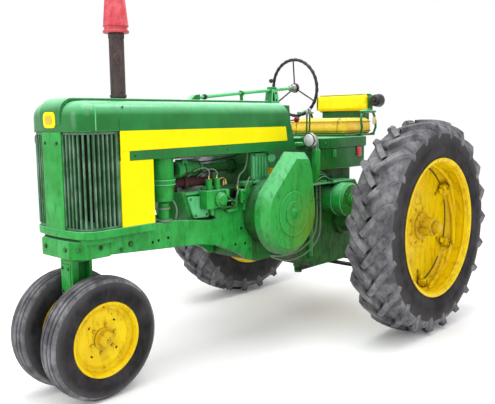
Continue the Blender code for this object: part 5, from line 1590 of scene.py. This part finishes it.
@dataclass
class Engine:
    """What fills the space over the rails: castings, pipes, pump, manifold and fittings."""

    cleaner: Point = (0.178, -0.885, 0)
    plate_foot: Point = (0, -0.6, 0.968)
    plate_top: Point = (0, -0.672, 1.104)
    cover_back: float = 0.158
    cover_face: float = 0.184
    generator_end: Point = (0.09, -0.706, 1.252)
    right_face: float = 0.212

    def cleaner_bands(self) -> None:
        """The clamp bands and the cap of the air cleaner."""
        pale = Shape()
        for z in (1.184, 1.211):
            pale.turned([(0.07, z - 0.004), (0.0775, z - 0.003), (0.0785, z), (0.0775, z + 0.003),
                (0.07, z + 0.004)], self.cleaner, Z, 56)
        pale.piece("air_cleaner_bands", PALE_GREEN, crease=50)
        Shape().turned([(0.036, 0.9605), (0.052, 0.962), (0.054, 0.972), (0.036, 0.976)],
            self.cleaner, Z, 40).turned([(0.03, 1.03), (0.041, 1.034), (0.041, 1.046), (0.03,
            1.05)], self.cleaner, Z, 40).piece("air_cleaner_foot", PIPE, slot="green_paint",
            bevel=0.001)

    def manifold(self) -> None:
        """The rusty exhaust manifold over the head, and its flange."""
        Shape().tube([(0.06, -0.705, 1.118), (0.075, -0.72, 1.15), (0.095, -0.7, 1.172), (0.12,
            -0.62, 1.176), (0.128, -0.52, 1.172), (0.12, -0.44, 1.16), (0.1, -0.4, 1.13), (0.095,
            -0.395, 1.108)], 0.03, 18).tube([(0.075, -0.73, 1.16), (0.06, -0.8, 1.19), (0.04,
            -0.84, 1.24), (0.045, -0.85, 1.3)], 0.022, 16).turned([(0.044, -0.01), (0.046, 0.0),
            (0.044, 0.01)], (0.112, -0.655, 1.175), (0.3, 1, 0.02), 28).piece("manifold", RED_RUST,
            bevel=0.0015, crease=40)

    def head_plate(self) -> None:
        """The sloping pale plate at the head, with its studs."""
        shape = Shape()
        low, high = Vector(self.plate_foot), Vector(self.plate_top)
        lean = (high - low).normalized()
        out = Vector((0, -lean.z, lean.y)) * -1
        out = out if out.y < 0 else -out
        rows = []
        for rise in (-0.004, 0.01):
            rows.append([Vector((x, 0, 0)) + spot + out * rise for spot, x in ((low, 0.03), (low,
                self.cover_back), (high, self.cover_back), (high, 0.03))])
        shape.loft(rows).piece("head_cover_plate", PALE_GREEN, bevel=0.006, bevel_segments=3)
        studs = Shape()
        for share in (0.15, 0.5, 0.85):
            for x in (0.046, 0.142):
                studs.bolt(low.lerp(high, share) + Vector((x, 0, 0)) + out * 0.01, out, 0.008,
                    0.009)
        studs.piece("head_cover_studs", CASTING, bevel=0.0008)

    def side_plate(self) -> None:
        """The pale slanting cover on the left of the head."""
        Shape().slab(eased([(-0.694, 1.09), (-0.536, 1.082), (-0.512, 0.944), (-0.64, 0.946)],
            0.014, 4), Axis.X, self.cover_back, self.cover_face).piece("side_cover_plate",
            PALE_GREEN, bevel=0.007, bevel_segments=3)
        Shape().slab(eased([(-0.53, 1.1), (-0.47, 1.1), (-0.47, 0.95), (-0.5, 0.95)], 0.008, 3),
            Axis.X, self.cover_back, 0.2).box((0.13, -0.7, 1.096), (0.176, -0.54, 1.112),
            0.005).piece("side_cover_step", LIGHT_CASTING, bevel=0.003)

    def block_side(self) -> None:
        """The castings on the left of the block: cover, ribs and mounting feet."""
        Shape().box((0.16, -0.48, 0.93), (0.212, -0.4, 0.995), 0.01, 3).box((0.15, -0.56, 1.1),
            (0.205, -0.415, 1.142), 0.01, 3).box((0.16, -0.232, 0.955), (0.232, -0.142, 1.15),
            0.01, 3).piece("block_side_castings", CASTING, bevel=0.0015)
        bolts = Shape()
        for y, z in ((-0.668, 1.07), (-0.556, 1.064), (-0.532, 0.962), (-0.628, 0.964)):
            bolts.bolt((self.cover_face, y, z), X, 0.0065, 0.005)
        for y, z in ((-0.212, 0.985), (-0.162, 0.985), (-0.212, 1.12), (-0.162, 1.12)):
            bolts.bolt((0.232, y, z), X, 0.009, 0.008)
        bolts.piece("block_side_bolts", OILY_SHADED, bevel=0.0008)

    def pump_details(self) -> None:
        """The pump's governor cover, linkage, unions and delivery pipes, and dark sheets of
        painted shade in its recesses.
        """
        Shape().turned([(0.046, -0.02), (0.05, -0.014), (0.05, 0.012), (0.04, 0.018), (0.034,
            0.03), (0.02, 0.036)], (0.25, -0.47, 1.055), X, 36).box((0.244, -0.44, 1.06), (0.272,
            -0.408, 1.118), 0.006).turned([(0.026, 0.0), (0.026, 0.03), (0.018, 0.04), (0.01,
            0.046)], (0.212, -0.34, 1.01), (1, 0.1, 0), 28).box((0.19, -0.395, 0.96), (0.246, -0.3,
            1.04), 0.01, 3).box((0.196, -0.288, 1.012), (0.262, -0.236, 1.105), 0.01,
            3).piece("pump_castings", CASTING, bevel=0.001)
        dark = Shape().tube([(0.262, -0.452, 1.09), (0.276, -0.42, 1.068), (0.27, -0.376, 1.04),
            (0.255, -0.33, 1.032)], 0.006, 10).tube([(0.244, -0.3, 1.1), (0.262, -0.33, 1.075),
            (0.262, -0.352, 1.01), (0.24, -0.372, 0.985)], 0.0075, 10).box((0.246, -0.352, 0.99),
            (0.262, -0.322, 1.05), 0.004).box((0.244, -0.47, 0.996), (0.262, -0.38, 1.008), 0.004)
        for y, z in ((-0.5, 1.085), (-0.44, 1.025), (-0.372, 1.02), (-0.262, 1.086), (-0.262,
                1.034), (-0.42, 1.1)):
            dark.bolt((0.262 if y > -0.3 else 0.256, y, z), X, 0.0075, 0.008)
        dark.piece("pump_linkage", OILY_SHADED, bevel=0.0008)
        # Painted shade: thin dark sheets laid in the recesses beside the pump.
        Shape().box((0.226, -0.398, 0.985), (0.2468, -0.33, 1.036), 0.002).box((0.196, -0.3, 1.03),
            (0.232, -0.286, 1.098), 0.002).box((0.205, -0.236, 1.01), (0.233, -0.226, 1.12),
            0.002).piece("pump_recesses", SHADOW, slot="dark_steel")
        pipes = Shape()
        for y, peak in ((-0.465, 1.25), (-0.535, 1.262)):
            pipes.tube([(0.21, y, 1.18), (0.212, y + 0.004, peak - 0.025), (0.2, y - 0.02, peak),
                (0.165, y - 0.06, peak - 0.01), (0.12, y - 0.11, peak - 0.06), (0.1, y - 0.15,
                1.19)], 0.0042, 10)
        pipes.tube([(0.215, -0.28, 1.1), (0.222, -0.268, 1.19), (0.214, -0.205, 1.232), (0.196,
            -0.16, 1.3), (0.19, -0.15, 1.352)], 0.005, 10).tube([(0.246, -0.25, 1.07), (0.262,
            -0.236, 1.14), (0.244, -0.19, 1.178), (0.215, -0.15, 1.17)], 0.005,
            10).piece("fuel_pipes", PIPE, crease=60)
        brass = Shape()
        for x, y, z, size in ((0.21, -0.465, 1.184, 0.012), (0.21, -0.535, 1.184, 0.012), (0.19,
                -0.432, 1.15, 0.011), (0.205, -0.4, 1.148, 0.01), (0.196, -0.372, 1.152, 0.013),
                (0.215, -0.28, 1.108, 0.009)):
            brass.turned([(size, -0.008), (size, 0.01), (size * 0.7, 0.014), (size * 0.7, 0.022),
                (size * 0.45, 0.026)], (x, y, z), Z, 6)
        brass.tube([(0.19, -0.432, 1.172), (0.196, -0.402, 1.19), (0.196, -0.372, 1.172)], 0.005,
            10).piece("brass_unions", BRASS, bevel=0.0006)

    def generator(self) -> None:
        """The generator under the hood and the pale rod beside it."""
        Shape().turned([(0.02, -0.012), (0.052, -0.006), (0.055, 0.002), (0.055, 0.19), (0.05,
            0.2), (0.02, 0.206)], self.generator_end, Y, 40).box((0.052, -0.68, 1.262), (0.128,
            -0.545, 1.316), 0.006).piece("generator", CASTING, bevel=0.0015)
        bands = Shape()
        x, _, z = self.generator_end
        for y in (-0.66, -0.54):
            bands.turned([(0.055, -0.005), (0.0572, -0.004), (0.0572, 0.004), (0.055, 0.005)],
                (x, y, z), Y, 40)
        bands.turned([(0.03, -0.03), (0.036, -0.026), (0.036, -0.018), (0.028, -0.012)],
            self.generator_end, Y, 32).piece("generator_bands", DARK_STEEL)
        Shape().tube([(0.15, -0.8, 1.33), (0.155, -0.6, 1.334), (0.15, -0.3, 1.33)], 0.0055,
            10).piece("throttle_rod", STEEL, crease=60)
        Shape().tube([(0.12, -0.64, 1.312), (0.15, -0.58, 1.3), (0.15, -0.42, 1.302), (0.12, -0.2,
            1.32), (0.12, -0.13, 1.35)], 0.0045, 8).tube([(0.13, -0.69, 1.222), (0.158, -0.62,
            1.232), (0.16, -0.48, 1.236), (0.15, -0.3, 1.24), (0.15, -0.13, 1.26)], 0.0045,
            8).piece("engine_wires", BLACK, crease=60)

    def tower(self) -> None:
        """The ribbed casting over the crankcase, with its breather and bolts."""
        shape = Shape().box((0.18, -0.115, 1.145), (0.214, 0.04, 1.335), 0.008, 3)
        for y in (-0.092, -0.062, -0.032, -0.002):
            shape.box((0.21, y - 0.006, 1.168), (0.224, y + 0.006, 1.312), 0.004)
        shape.turned([(0.03, 0.0), (0.034, 0.006), (0.034, 0.03), (0.024, 0.04)], (0.205, 0.06,
            1.29), (1, -0.3, 0.1), 28).box((0.18, -0.13, 1.128), (0.226, 0.06, 1.15),
            0.006).piece("tower_casting", PALE_GREEN, bevel=0.0012)
        bolts = Shape()
        for y in (-0.118, -0.04, 0.046):
            bolts.bolt((0.218, y, 1.15), Z, 0.007, 0.008)
        for y, z in ((-0.105, 1.322), (0.028, 1.322)):
            bolts.bolt((0.214, y, z), X, 0.007, 0.006)
        bolts.piece("tower_bolts", OILY_SHADED, bevel=0.0008)

    def thin_pipe(self) -> None:
        """The thin curved drain pipe behind the air cleaner."""
        Shape().tube([(0.172, -0.812, 1.085), (0.186, -0.802, 1.062), (0.19, -0.79, 1.02), (0.188,
            -0.794, 0.985), (0.186, -0.8, 0.955)], 0.0055, 10).piece("drain_pipe", PIPE, crease=60)

    def right_side(self) -> None:
        """The plainer castings on the right of the block."""
        shape = Shape().box((-self.right_face, -0.56, 0.945), (-0.16, -0.19, 1.08), 0.01,
            3).box((-0.205, -0.47, 1.07), (-0.15, -0.3, 1.13), 0.01, 3)
        for y in (-0.5, -0.42, -0.34, -0.26):
            shape.box((-0.222, y - 0.006, 0.955), (-0.208, y + 0.006, 1.07), 0.004)
        shape.piece("right_side_castings", CASTING, bevel=0.0015)
        bolts = Shape()
        for y in (-0.54, -0.46, -0.38, -0.3, -0.215):
            for z in (0.962, 1.062):
                bolts.bolt((-self.right_face, y, z), (-1, 0, 0), 0.007, 0.006)
        bolts.piece("right_side_bolts", OILY_SHADED, bevel=0.0008)
        filters = Shape()
        for y in (-0.42, -0.35):
            filters.turned([(0.016, 1.118), (0.032, 1.124), (0.032, 1.215), (0.028, 1.226), (0.01,
                1.232)], (-0.175, y, 0), Z, 32)
        filters.piece("oil_filters", BLACK, bevel=0.001)

    def build(self) -> None:
        """Makes every engine detail."""
        self.cleaner_bands()
        self.manifold()
        self.head_plate()
        self.side_plate()
        self.block_side()
        self.pump_details()
        self.generator()
        self.tower()
        self.thin_pipe()
        self.right_side()


@dataclass
class FlywheelSide:
    """The rings, hub and screws of the flywheel cover, and the two pipes that pass round it."""

    y: float = 0.003
    z: float = 0.93
    face: float = 0.465

    def build(self) -> None:
        """Makes the cover's details."""
        # Painted highlight: the rings on the cover's steps are a lighter green than the cover.
        rings = Shape()
        for radius, along, thick in ((0.15, 0.0062, 0.0028), (0.085, 0.0122, 0.0028), (0.04,
                0.0182, 0.0022)):
            rings.hoop((self.face + along - 0.0012, self.y, self.z), X, radius - 0.002, thick, 72,
                8)
        rings.piece("cover_rings", LIGHT_CASTING, crease=60)
        cap = Shape().turned([(0.03, 0.017), (0.03, 0.0215), (0.022, 0.025), (0.008, 0.026)],
            (self.face, self.y, self.z), X, 36)
        for turn in (20, 140, 260):
            spot = (self.face - 0.001, self.y + 0.208 * cos(radians(turn)), self.z + 0.208
                * sin(radians(turn)))
            cap.bolt(spot, X, 0.0075, 0.005)
        cap.bolt((self.face - 0.001, 0.14, 1.262), X, 0.0075, 0.005).piece("cover_cap_and_screws",
            CASTING, bevel=0.0008)
        pipes = Shape()
        for shift in (0.0, 0.042):
            pipes.tube([(0.3, 0.478 + shift, 1.08), (0.3, 0.48 + shift, 0.96), (0.3, 0.484 + shift,
                0.85), (0.3, 0.459 + shift * 1.3, 0.725 - shift * 0.5), (0.3, 0.374 + shift,
                0.654 - shift), (0.29, 0.244 + shift, 0.607 - shift), (0.26, 0.109 + shift,
                0.598 - shift), (0.19, 0.06, 0.6)], 0.007, 10)
        pipes.piece("cover_pipes", PIPE, crease=60)


@dataclass
class FrameDetails:
    """Holes and bolts of the rails and the front casting, and the post's fittings."""

    rail_x: float = 0.21

    def rails(self) -> None:
        """The rows of holes, as dark discs of painted shade, and the bolts on both rails."""
        holes, bolts = Shape(), Shape()
        for side in Side:
            out = side.out
            x = side * self.rail_x
            for y, z, size in ((-1.0, 0.852, 0.0085), (-0.955, 0.856, 0.0085), (-0.88, 0.862,
                    0.009), (-0.3, 0.735, 0.009), (-0.205, 0.728, 0.009)):
                holes.turned([(size, -0.002), (size, 0.0007), (size * 0.8, 0.001)], (x, y, z), out,
                    20)
            pad = side * 0.217
            holes.turned([(0.011, -0.002), (0.011, 0.0006), (0.0095, 0.0009)], (pad, -0.25, 0.838),
                out, 24)
            bolts.bolt((x, -1.16, 0.866), out, 0.0135, 0.01).bolt((x, -1.225, 0.842), out, 0.011,
                0.008)
            for y, z in ((-0.16, 0.9), (-0.16, 0.985), (-0.16, 0.68)):
                bolts.bolt((x, y, z), out, 0.011, 0.009)
        holes.piece("rail_holes", SHADOW, slot="dark_steel")
        bolts.piece("rail_bolts", OILY_SHADED, slot="dark_steel", bevel=0.001)

    def pedestal(self) -> None:
        """The bolts of the front casting and the small ring."""
        bolts = Shape()
        for x in (-0.1, 0.1):
            bolts.bolt((x, -1.515, 0.872), FORWARD, 0.012, 0.009)
        slant = Vector((0.68, -0.73, 0)).normalized()
        for side in Side:
            out = Vector((slant.x * side.value, slant.y, 0))
            bolts.bolt(Vector((side * 0.174, -1.483, 0.872)), out, 0.011, 0.008).bolt((side
                * 0.208, -1.36, 0.872), side.out, 0.011, 0.008)
        bolts.piece("pedestal_bolts", OILY_SHADED, bevel=0.001)
        Shape().hoop((-0.296, -1.43, 1.462), (0.35, 1, 0), 0.021, 0.005, 32, 10).box((-0.282,
            -1.44, 1.455), (-0.244, -1.42, 1.475), 0.004).piece("side_ring", BLACK,
            slot="dark_steel", crease=60)

    def post(self) -> None:
        """The steering post's collar, ribs and knuckle bolts."""
        Shape().turned([(0.08, 0.79), (0.0845, 0.794), (0.0845, 0.8), (0.062, 0.806)], (0, -1.385,
            0), Z, 48).box((-0.046, -1.46, 0.59), (0.046, -1.454, 0.77),
            0.004).piece("post_collar", CASTING, "front_steering", bevel=0.0012)
        bolts = Shape()
        for x in (-0.03, 0.03):
            for z in (0.615, 0.745):
                bolts.bolt((x, -1.46, z), FORWARD, 0.0085, 0.007)
        for x in (-0.018, 0.018):
            for z in (0.345, 0.4):
                bolts.bolt((x, -1.403, z), FORWARD, 0.0085, 0.007)
        bolts.piece("post_bolts", OILY_SHADED, "front_steering", bevel=0.0008)

    def build(self) -> None:
        """Makes every frame detail."""
        self.rails()
        self.pedestal()
        self.post()


@dataclass
class Cases:
    """Flanges, bolts and covers of the middle and rear cases, the brakes and the axles."""

    joint_y: float = 0.52
    rear_y: float = 1.19
    axle: tuple[float, float] = (0.933, 0.773)
    brake: tuple[float, float] = (0.673, 0.96)

    def joint(self) -> None:
        """The flange between the two cases, with its bolts."""
        flange, bolts = Shape(), Shape()
        for side in Side:
            near, far = side.span(0.196, 0.224)
            flange.box((near, self.joint_y - 0.02, 0.52), (far, self.joint_y + 0.02, 1.03), 0.004)
            for z in (0.56, 0.65, 0.74, 0.83, 0.92, 1.0):
                bolts.bolt((side * 0.212, self.joint_y - 0.02, z), FORWARD, 0.0095, 0.01)
            near, far = side.span(0.198, 0.208)
            flange.box((near, 0.29, 0.64), (far, 0.46, 0.9), 0.006)
            for y, z in ((0.31, 0.665), (0.44, 0.665), (0.31, 0.875), (0.44, 0.875)):
                bolts.bolt((side * 0.208, y, z), side.out, 0.0095, 0.008)
        flange.piece("case_flanges", CASTING, bevel=0.0012)
        bolts.piece("case_bolts", OILY_SHADED, bevel=0.0008)

    def brakes(self) -> None:
        """Pale worn bands, bolts and links of the brake housings and the pedals."""
        bands, bolts, links = Shape(), Shape(), Shape()
        y, z = self.brake
        for side in Side:
            out = side.out
            for along in (0.376, 0.458):
                bands.turned([(0.1235, -0.004), (0.1275, -0.003), (0.1275, 0.003), (0.1235,
                    0.004)], (side * along, y, z), out, 56)
            for number in range(6):
                turn = 2 * pi * (number + 0.5) / 6
                bolts.bolt((side * 0.48, y + 0.088 * cos(turn), z + 0.088 * sin(turn)), out, 0.009,
                    0.008)
            bolts.turned([(0.05, -0.002), (0.05, 0.006), (0.042, 0.01), (0.03, 0.01)],
                (side * 0.48, y, z), out, 36)
            x = side * 0.245
            links.tube([(side * 0.262, 0.33, 1.022), (side * 0.285, 0.38, 0.985), (side * 0.3,
                0.47, 0.965), (side * 0.3, 0.545, 0.955)], 0.0065, 10).tube([(x, 0.366, 1.226),
                (x + side * 0.03, 0.372, 1.262), (x + side * 0.06, 0.374, 1.262),
                (x + side * 0.078, 0.372, 1.225)], 0.007, 10)
            for shift, drop in ((0.0, 0.0), (0.022, 0.02), (0.045, 0.034)):
                links.tube([(side * (0.33 + shift), 0.372, 1.102), (side * (0.336 + shift), 0.392,
                    1.158 - drop), (side * (0.34 + shift), 0.45, 1.176 - drop),
                    (side * (0.345 + shift), 0.52, 1.15 - drop), (side * (0.345 + shift), 0.56,
                    1.102)], 0.0062, 10)
        bands.piece("brake_bands", PALE_GREEN, crease=50)
        bolts.piece("brake_bolts", CASTING, bevel=0.0008)
        links.piece("brake_links", OILY_SHADED, slot="dark_steel", crease=60)

    def axles(self) -> None:
        """Flange bolts, ribs and end collars of the axle housings."""
        ribs, bolts = Shape(), Shape()
        y, z = self.axle
        for side in Side:
            out = side.out
            for number in range(8):
                turn = 2 * pi * (number + 0.5) / 8
                bolts.bolt((side * 0.2455, y + 0.118 * cos(turn), z + 0.118 * sin(turn)), out,
                    0.009, 0.009)
            for number in range(4):
                turn = 2 * pi * number / 4 + pi / 4
                spin = Matrix.Rotation(turn, 4, "X")
                lie = Matrix.Translation((side * 0.3, y, z)) @ spin
                Shape(lie).box((-0.05, -0.005, 0.07), (0.05, 0.005, 0.106),
                    0.003).piece(f"axle_rib_{side.word}_{number}", OILY_SHADED)
            ribs.turned([(0.0905, -0.02), (0.0955, -0.016), (0.0955, 0.01), (0.0905, 0.014)],
                (side * 0.625, y, z), out, 48)
            for number in range(6):
                turn = 2 * pi * number / 6
                bolts.bolt((side * 0.65, y + 0.074 * cos(turn), z + 0.074 * sin(turn)), out, 0.007,
                    0.006)
        ribs.piece("axle_collars", CASTING, bevel=0.001)
        bolts.piece("axle_bolts", OILY_SHADED, bevel=0.0008)

    def rear_cover(self) -> None:
        """The cover on the rear face, its bolts and the shaft guard."""
        cover, bolts = Shape(), Shape()
        y = self.rear_y
        outline = eased([(-0.15, 0.7), (0.15, 0.7), (0.15, 0.95), (-0.15, 0.95)], 0.03, 5)
        cover.slab([(p.x, p.y) for p in outline], Axis.Y, y - 0.004, y + 0.012).turned([(0.058,
            0.0), (0.058, 0.012), (0.05, 0.016), (0.03, 0.018)], (0, y + 0.012, 0.86), Y, 40)
        for number in range(10):
            turn = 2 * pi * number / 10
            bolts.bolt((0.13 * cos(turn), y + 0.012, 0.825 + 0.105 * sin(turn)), Y, 0.008, 0.008)
        for side in Side:
            for z in (0.56, 0.64, 1.0):
                bolts.bolt((side * 0.175, y, z), Y, 0.01, 0.009)
        cover.piece("rear_cover", CASTING, bevel=0.0015)
        bolts.piece("rear_cover_bolts", OILY_SHADED, bevel=0.0008)
        guard = Shape().loft([[(x, y + depth, z) for x, z in ((-0.085, 0.69), (0.085, 0.69),
            (0.085, 0.684), (-0.085, 0.684))] for depth in (0.0, 0.11)])
        for side in Side:
            near, far = side.span(0.079, 0.085)
            guard.box((near, y - 0.001, 0.6), (far, y + 0.105, 0.688), 0.002)
        guard.piece("shaft_guard", DARK_STEEL, bevel=0.001)

    def floor_ribs(self) -> None:
        """The raised treads and the bright worn front edge of the platform."""
        ribs = Shape()
        for side in Side:
            for number in range(7):
                y = 0.372 + number * 0.068
                near, far = side.span(0.205, 0.372)
                if y < 0.42:
                    near, far = side.span(0.3, 0.318)
                ribs.box((near, y - 0.008, 1.0968), (far, y + 0.008, 1.1012), 0.0018)
        ribs.piece("floor_treads", CASTING)
        edge = Shape().tube([(-0.388, 0.2925, 1.0935), (0.388, 0.2925, 1.0935)], 0.004, 10, 1)
        for side in Side:
            edge.tube([(side * 0.3885, 0.296, 1.0935), (side * 0.3885, 0.85, 1.0935)], 0.004, 10,
                1)
        edge.piece("floor_edges", PALE_GREEN, crease=60)

    def build(self) -> None:
        """Makes every detail of the cases."""
        self.joint()
        self.brakes()
        self.axles()
        self.rear_cover()
        self.floor_ribs()


@dataclass
class Stack:
    """The bands of the exhaust stack and the rims of its cap."""

    y: float = -1.053

    def build(self) -> None:
        """Makes the bands and rims."""
        Shape().turned([(0.0445, 1.7), (0.049, 1.702), (0.049, 1.714), (0.0445, 1.716)],
            (0, self.y, 0), Z, 48).turned([(0.044, 2.04), (0.0465, 2.042), (0.0465, 2.062), (0.044,
            2.064)], (0, self.y, 0), Z, 48).piece("stack_bands", RUST, crease=50)
        rims = Shape()
        for z, radius in ((2.0765, 0.0752), (2.109, 0.0735), (2.36, 0.048)):
            rims.hoop((0, self.y, z), Z, radius - 0.0005, 0.0024, 56, 8)
        rims.piece("cap_rims", RED, crease=60)


@dataclass
class Turning:
    """Details that ride on the pulley, the fan and the power shaft."""

    pulley_centre: Point = (-0.42, 0.003, 0.93)
    pulley_bolts: int = 6
    bolt_circle: float = 0.11
    fan_centre: Point = (0, -1.12, 1.24)
    rivets: int = 4
    rivet_circle: float = 0.024
    shaft_centre: Point = (0, 1.26, 0.62)
    splines: int = 6

    def pulley(self) -> None:
        """Bolts and the pressed cap in the pulley's face."""
        shape = Shape()
        centre = Vector(self.pulley_centre)
        for number in range(self.pulley_bolts):
            turn = 2 * pi * number / self.pulley_bolts
            spot = centre + Vector((-0.047, self.bolt_circle * cos(turn), self.bolt_circle
                * sin(turn)))
            shape.bolt(spot, (-1, 0, 0), 0.01, 0.009)
        shape.turned([(0.046, 0.1), (0.046, 0.1035), (0.04, 0.1036)], centre, (-1, 0, 0),
            40).piece("pulley_fittings", DARK_STEEL, "belt_pulley", bevel=0.0008)

    def fan(self) -> None:
        """Rivets on the fan's hub."""
        shape = Shape()
        _, y, z = self.fan_centre
        for number in range(self.rivets):
            turn = 2 * pi * number / self.rivets + pi / 4
            shape.bolt((self.rivet_circle * cos(turn), y, z + self.rivet_circle * sin(turn)),
                FORWARD, 0.005, 0.004, washer=False)
        shape.piece("fan_bolts", STEEL, "fan", slot="dark_steel", bevel=0.0005)

    def shaft_splines(self) -> None:
        """The splines of the power shaft."""
        shape = Shape()
        for number in range(self.splines):
            turn = 2 * pi * number / self.splines
            shape.place = Matrix.Translation(self.shaft_centre) @ Matrix.Rotation(turn, 4, "Y")
            shape.box((-0.004, -0.028, 0.0145), (0.004, 0.028, 0.01745), 0.0008, 1)
        shape.piece("power_shaft_splines", DARK_STEEL, "pto_shaft", slot="bare_steel")

    def build(self) -> None:
        """Makes every turning detail."""
        self.pulley()
        self.fan()
        self.shaft_splines()


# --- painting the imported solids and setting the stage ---


def repaint(nodes: dict[str, Thing]) -> None:
    """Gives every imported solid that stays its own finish, soft shading and eased edges.

    Args:
        nodes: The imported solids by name.
    """
    finishes = {GREEN: ("hood", "fuel_tank", "instrument_panel", "battery_box", "seat_frame"),
        CASTING: ("nose_column", "pedestal", "frame_rail_left", "frame_rail_right", "air_cleaner",
        "steering_post", "brake_housing_left", "brake_housing_right", "belt_pulley", "platform",
        "cylinder_head", "injection_pump"), OILY_SHADED: ("crankcase", "cylinder_block",
        "transmission_case", "axle_housing_left", "axle_housing_right", "seat_pedestal",
        "fan_shaft_tube"), STAINED: ("flywheel_cover",), GRILLE_GREY: ("grille",),
        YELLOW: ("nose_panel_left", "nose_panel_right"), RUST: ("exhaust_pipe",),
        RED: ("exhaust_cap",), CORE: ("radiator",), DARK_STEEL: ("cooling_fan", "drawbar",
        "drawbar_hanger", "brake_pedal_left", "brake_pedal_right"), STEEL: ("pto_shaft",),
        SOILED_YELLOW: ("rear_axle_left", "rear_axle_right"), PALE_GREEN: ("steering_shaft",),
        BLACK: ("steering_wheel",), CHROME: ("headlight_left", "headlight_right"),}
    for finish, names in finishes.items():
        for name in names:
            node = nodes[name]
            node.data.materials.clear()
            node.data.materials.append(finish.material())
            node.data.shade_smooth()
            if node.data.attributes.get("custom_normal"):
                node.data.attributes.remove(node.data.attributes["custom_normal"])
            weld = node.modifiers.new("Weld", "WELD")
            weld.merge_threshold = 0.00002
            rounding = node.modifiers.new("Rounding", "BEVEL")
            rounding.width = 0.0025
            rounding.segments = 2
            rounding.limit_method = "ANGLE"
            rounding.angle_limit = radians(34)
            evened = node.modifiers.new("Evened", "WEIGHTED_NORMAL")
            evened.weight = 100


@dataclass
class Studio:
    """The plain pale floor, the soft lights and the camera."""

    eye: Spot = (3.217, -3.404, 1.563)
    yaw: float = radians(42.97)
    pitch: float = radians(-7.18)
    roll: float = radians(-0.787)
    lens: float = 47.75

    def camera(self) -> None:
        """Places the camera."""
        data = bpy.data.cameras.new("viewpoint")
        data.lens = self.lens
        data.sensor_width = 36.0
        data.clip_end = 400.0
        made = bpy.data.objects.new("viewpoint", data)
        bpy.context.scene.collection.objects.link(made)
        ahead = Vector((-sin(self.yaw) * cos(self.pitch), cos(self.yaw) * cos(self.pitch),
            sin(self.pitch)))
        right = ahead.cross(Vector(Z)).normalized()
        up = right.cross(ahead)
        tilted = right * cos(self.roll) + up * sin(self.roll)
        made.matrix_world = Matrix((tilted, tilted.cross(ahead), -ahead)).transposed().to_4x4()
        made.location = self.eye
        bpy.context.scene.camera = made

    def light(self, name: str, spot: Point, aim: Point, size: float, power: float) -> None:
        """Adds one soft square light.

        Args:
            name: The light's name.
            spot: Where it hangs.
            aim: The point that it faces.
            size: Length of its sides.
            power: Its power in watts.
        """
        data = bpy.data.lights.new(name, "AREA")
        data.size = size
        data.energy = power
        made = bpy.data.objects.new(name, data)
        bpy.context.scene.collection.objects.link(made)
        made.location = spot
        made.rotation_mode = "QUATERNION"
        made.rotation_quaternion = (Vector(aim) - Vector(spot)).to_track_quat("-Z", "Y")

    def floor(self) -> None:
        """Lays the floor under the tyres."""
        shape = bmesh.new()
        bmesh.ops.create_circle(shape, cap_ends=True, segments=96, radius=150.0)
        data = bpy.data.meshes.new("floor")
        shape.to_mesh(data)
        shape.free()
        made = bpy.data.objects.new("floor", data)
        bpy.context.scene.collection.objects.link(made)
        made.location.z = -0.0005
        plain = bpy.data.materials.new("floor_paper")
        plain.use_nodes = True
        shader = plain.node_tree.nodes["Principled BSDF"]
        shader.inputs["Base Color"].default_value = (0.93, 0.93, 0.93, 1.0)
        shader.inputs["Roughness"].default_value = 0.9
        shader.inputs["Emission Color"].default_value = (1.0, 1.0, 1.0, 1.0)
        shader.inputs["Emission Strength"].default_value = 0.08
        shader.inputs["Specular IOR Level"].default_value = 0.1
        data.materials.append(plain)

    def sky(self) -> None:
        """An even pale surround."""
        world = bpy.data.worlds.new("surround")
        bpy.context.scene.world = world
        world.use_nodes = True
        back = world.node_tree.nodes["Background"]
        back.inputs["Color"].default_value = (1.0, 1.0, 1.0, 1.0)
        back.inputs["Strength"].default_value = 1.0
        bpy.context.scene.view_settings.view_transform = "Standard"

    def build(self) -> None:
        """Sets the whole stage."""
        self.camera()
        self.floor()
        self.sky()
        self.light("overhead", (0.5, -0.4, 5.2), (0, 0, 0.8), 4.0, 190.0)
        self.light("key", (5.0, -3.0, 4.2), (0, 0, 0.8), 3.0, 50.0)
        self.light("front", (-1.5, -6.0, 3.0), (0, -0.6, 0.9), 3.0, 90.0)
        self.light("rear", (-3.5, 5.0, 4.0), (0, 0, 0.9), 3.5, 50.0)


def main() -> None:
    """Builds the tractor's sub-assemblies in order, then the stage."""
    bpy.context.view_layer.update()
    nodes = frame["nodes"]
    joints = {joint["name"]: joint for joint in frame["joints"]}
    studio = Studio()
    studio.build()
    repaint(nodes)
    for side in Side:
        rear = Matrix.Translation(joints[f"rear_wheel_{side.word}_spin"]["pos_m"])
        RearTyre(side, rear).build()
        RearWheel(side, rear).build()
        joint = joints[f"front_wheel_{side.word}_spin"]
        lean = Vector(joint["axis"])
        tilt = Matrix.Rotation(atan2(-lean.z, lean.x), 4, "Y")
        front = Matrix.Translation(joint["pos_m"]) @ tilt
        FrontTyre(side, front).build()
        FrontWheel(side, front).build()
    Grille().build()
    HoodTrim().build()
    for assembly in (Seat(), Controls(), Lamps(), Engine(), FlywheelSide(), FrameDetails(),
            Cases(), Stack(), Turning()):
        assembly.build()
        LOG.info("%s is done", type(assembly).__name__)


if __name__ == "__main__":
    main()
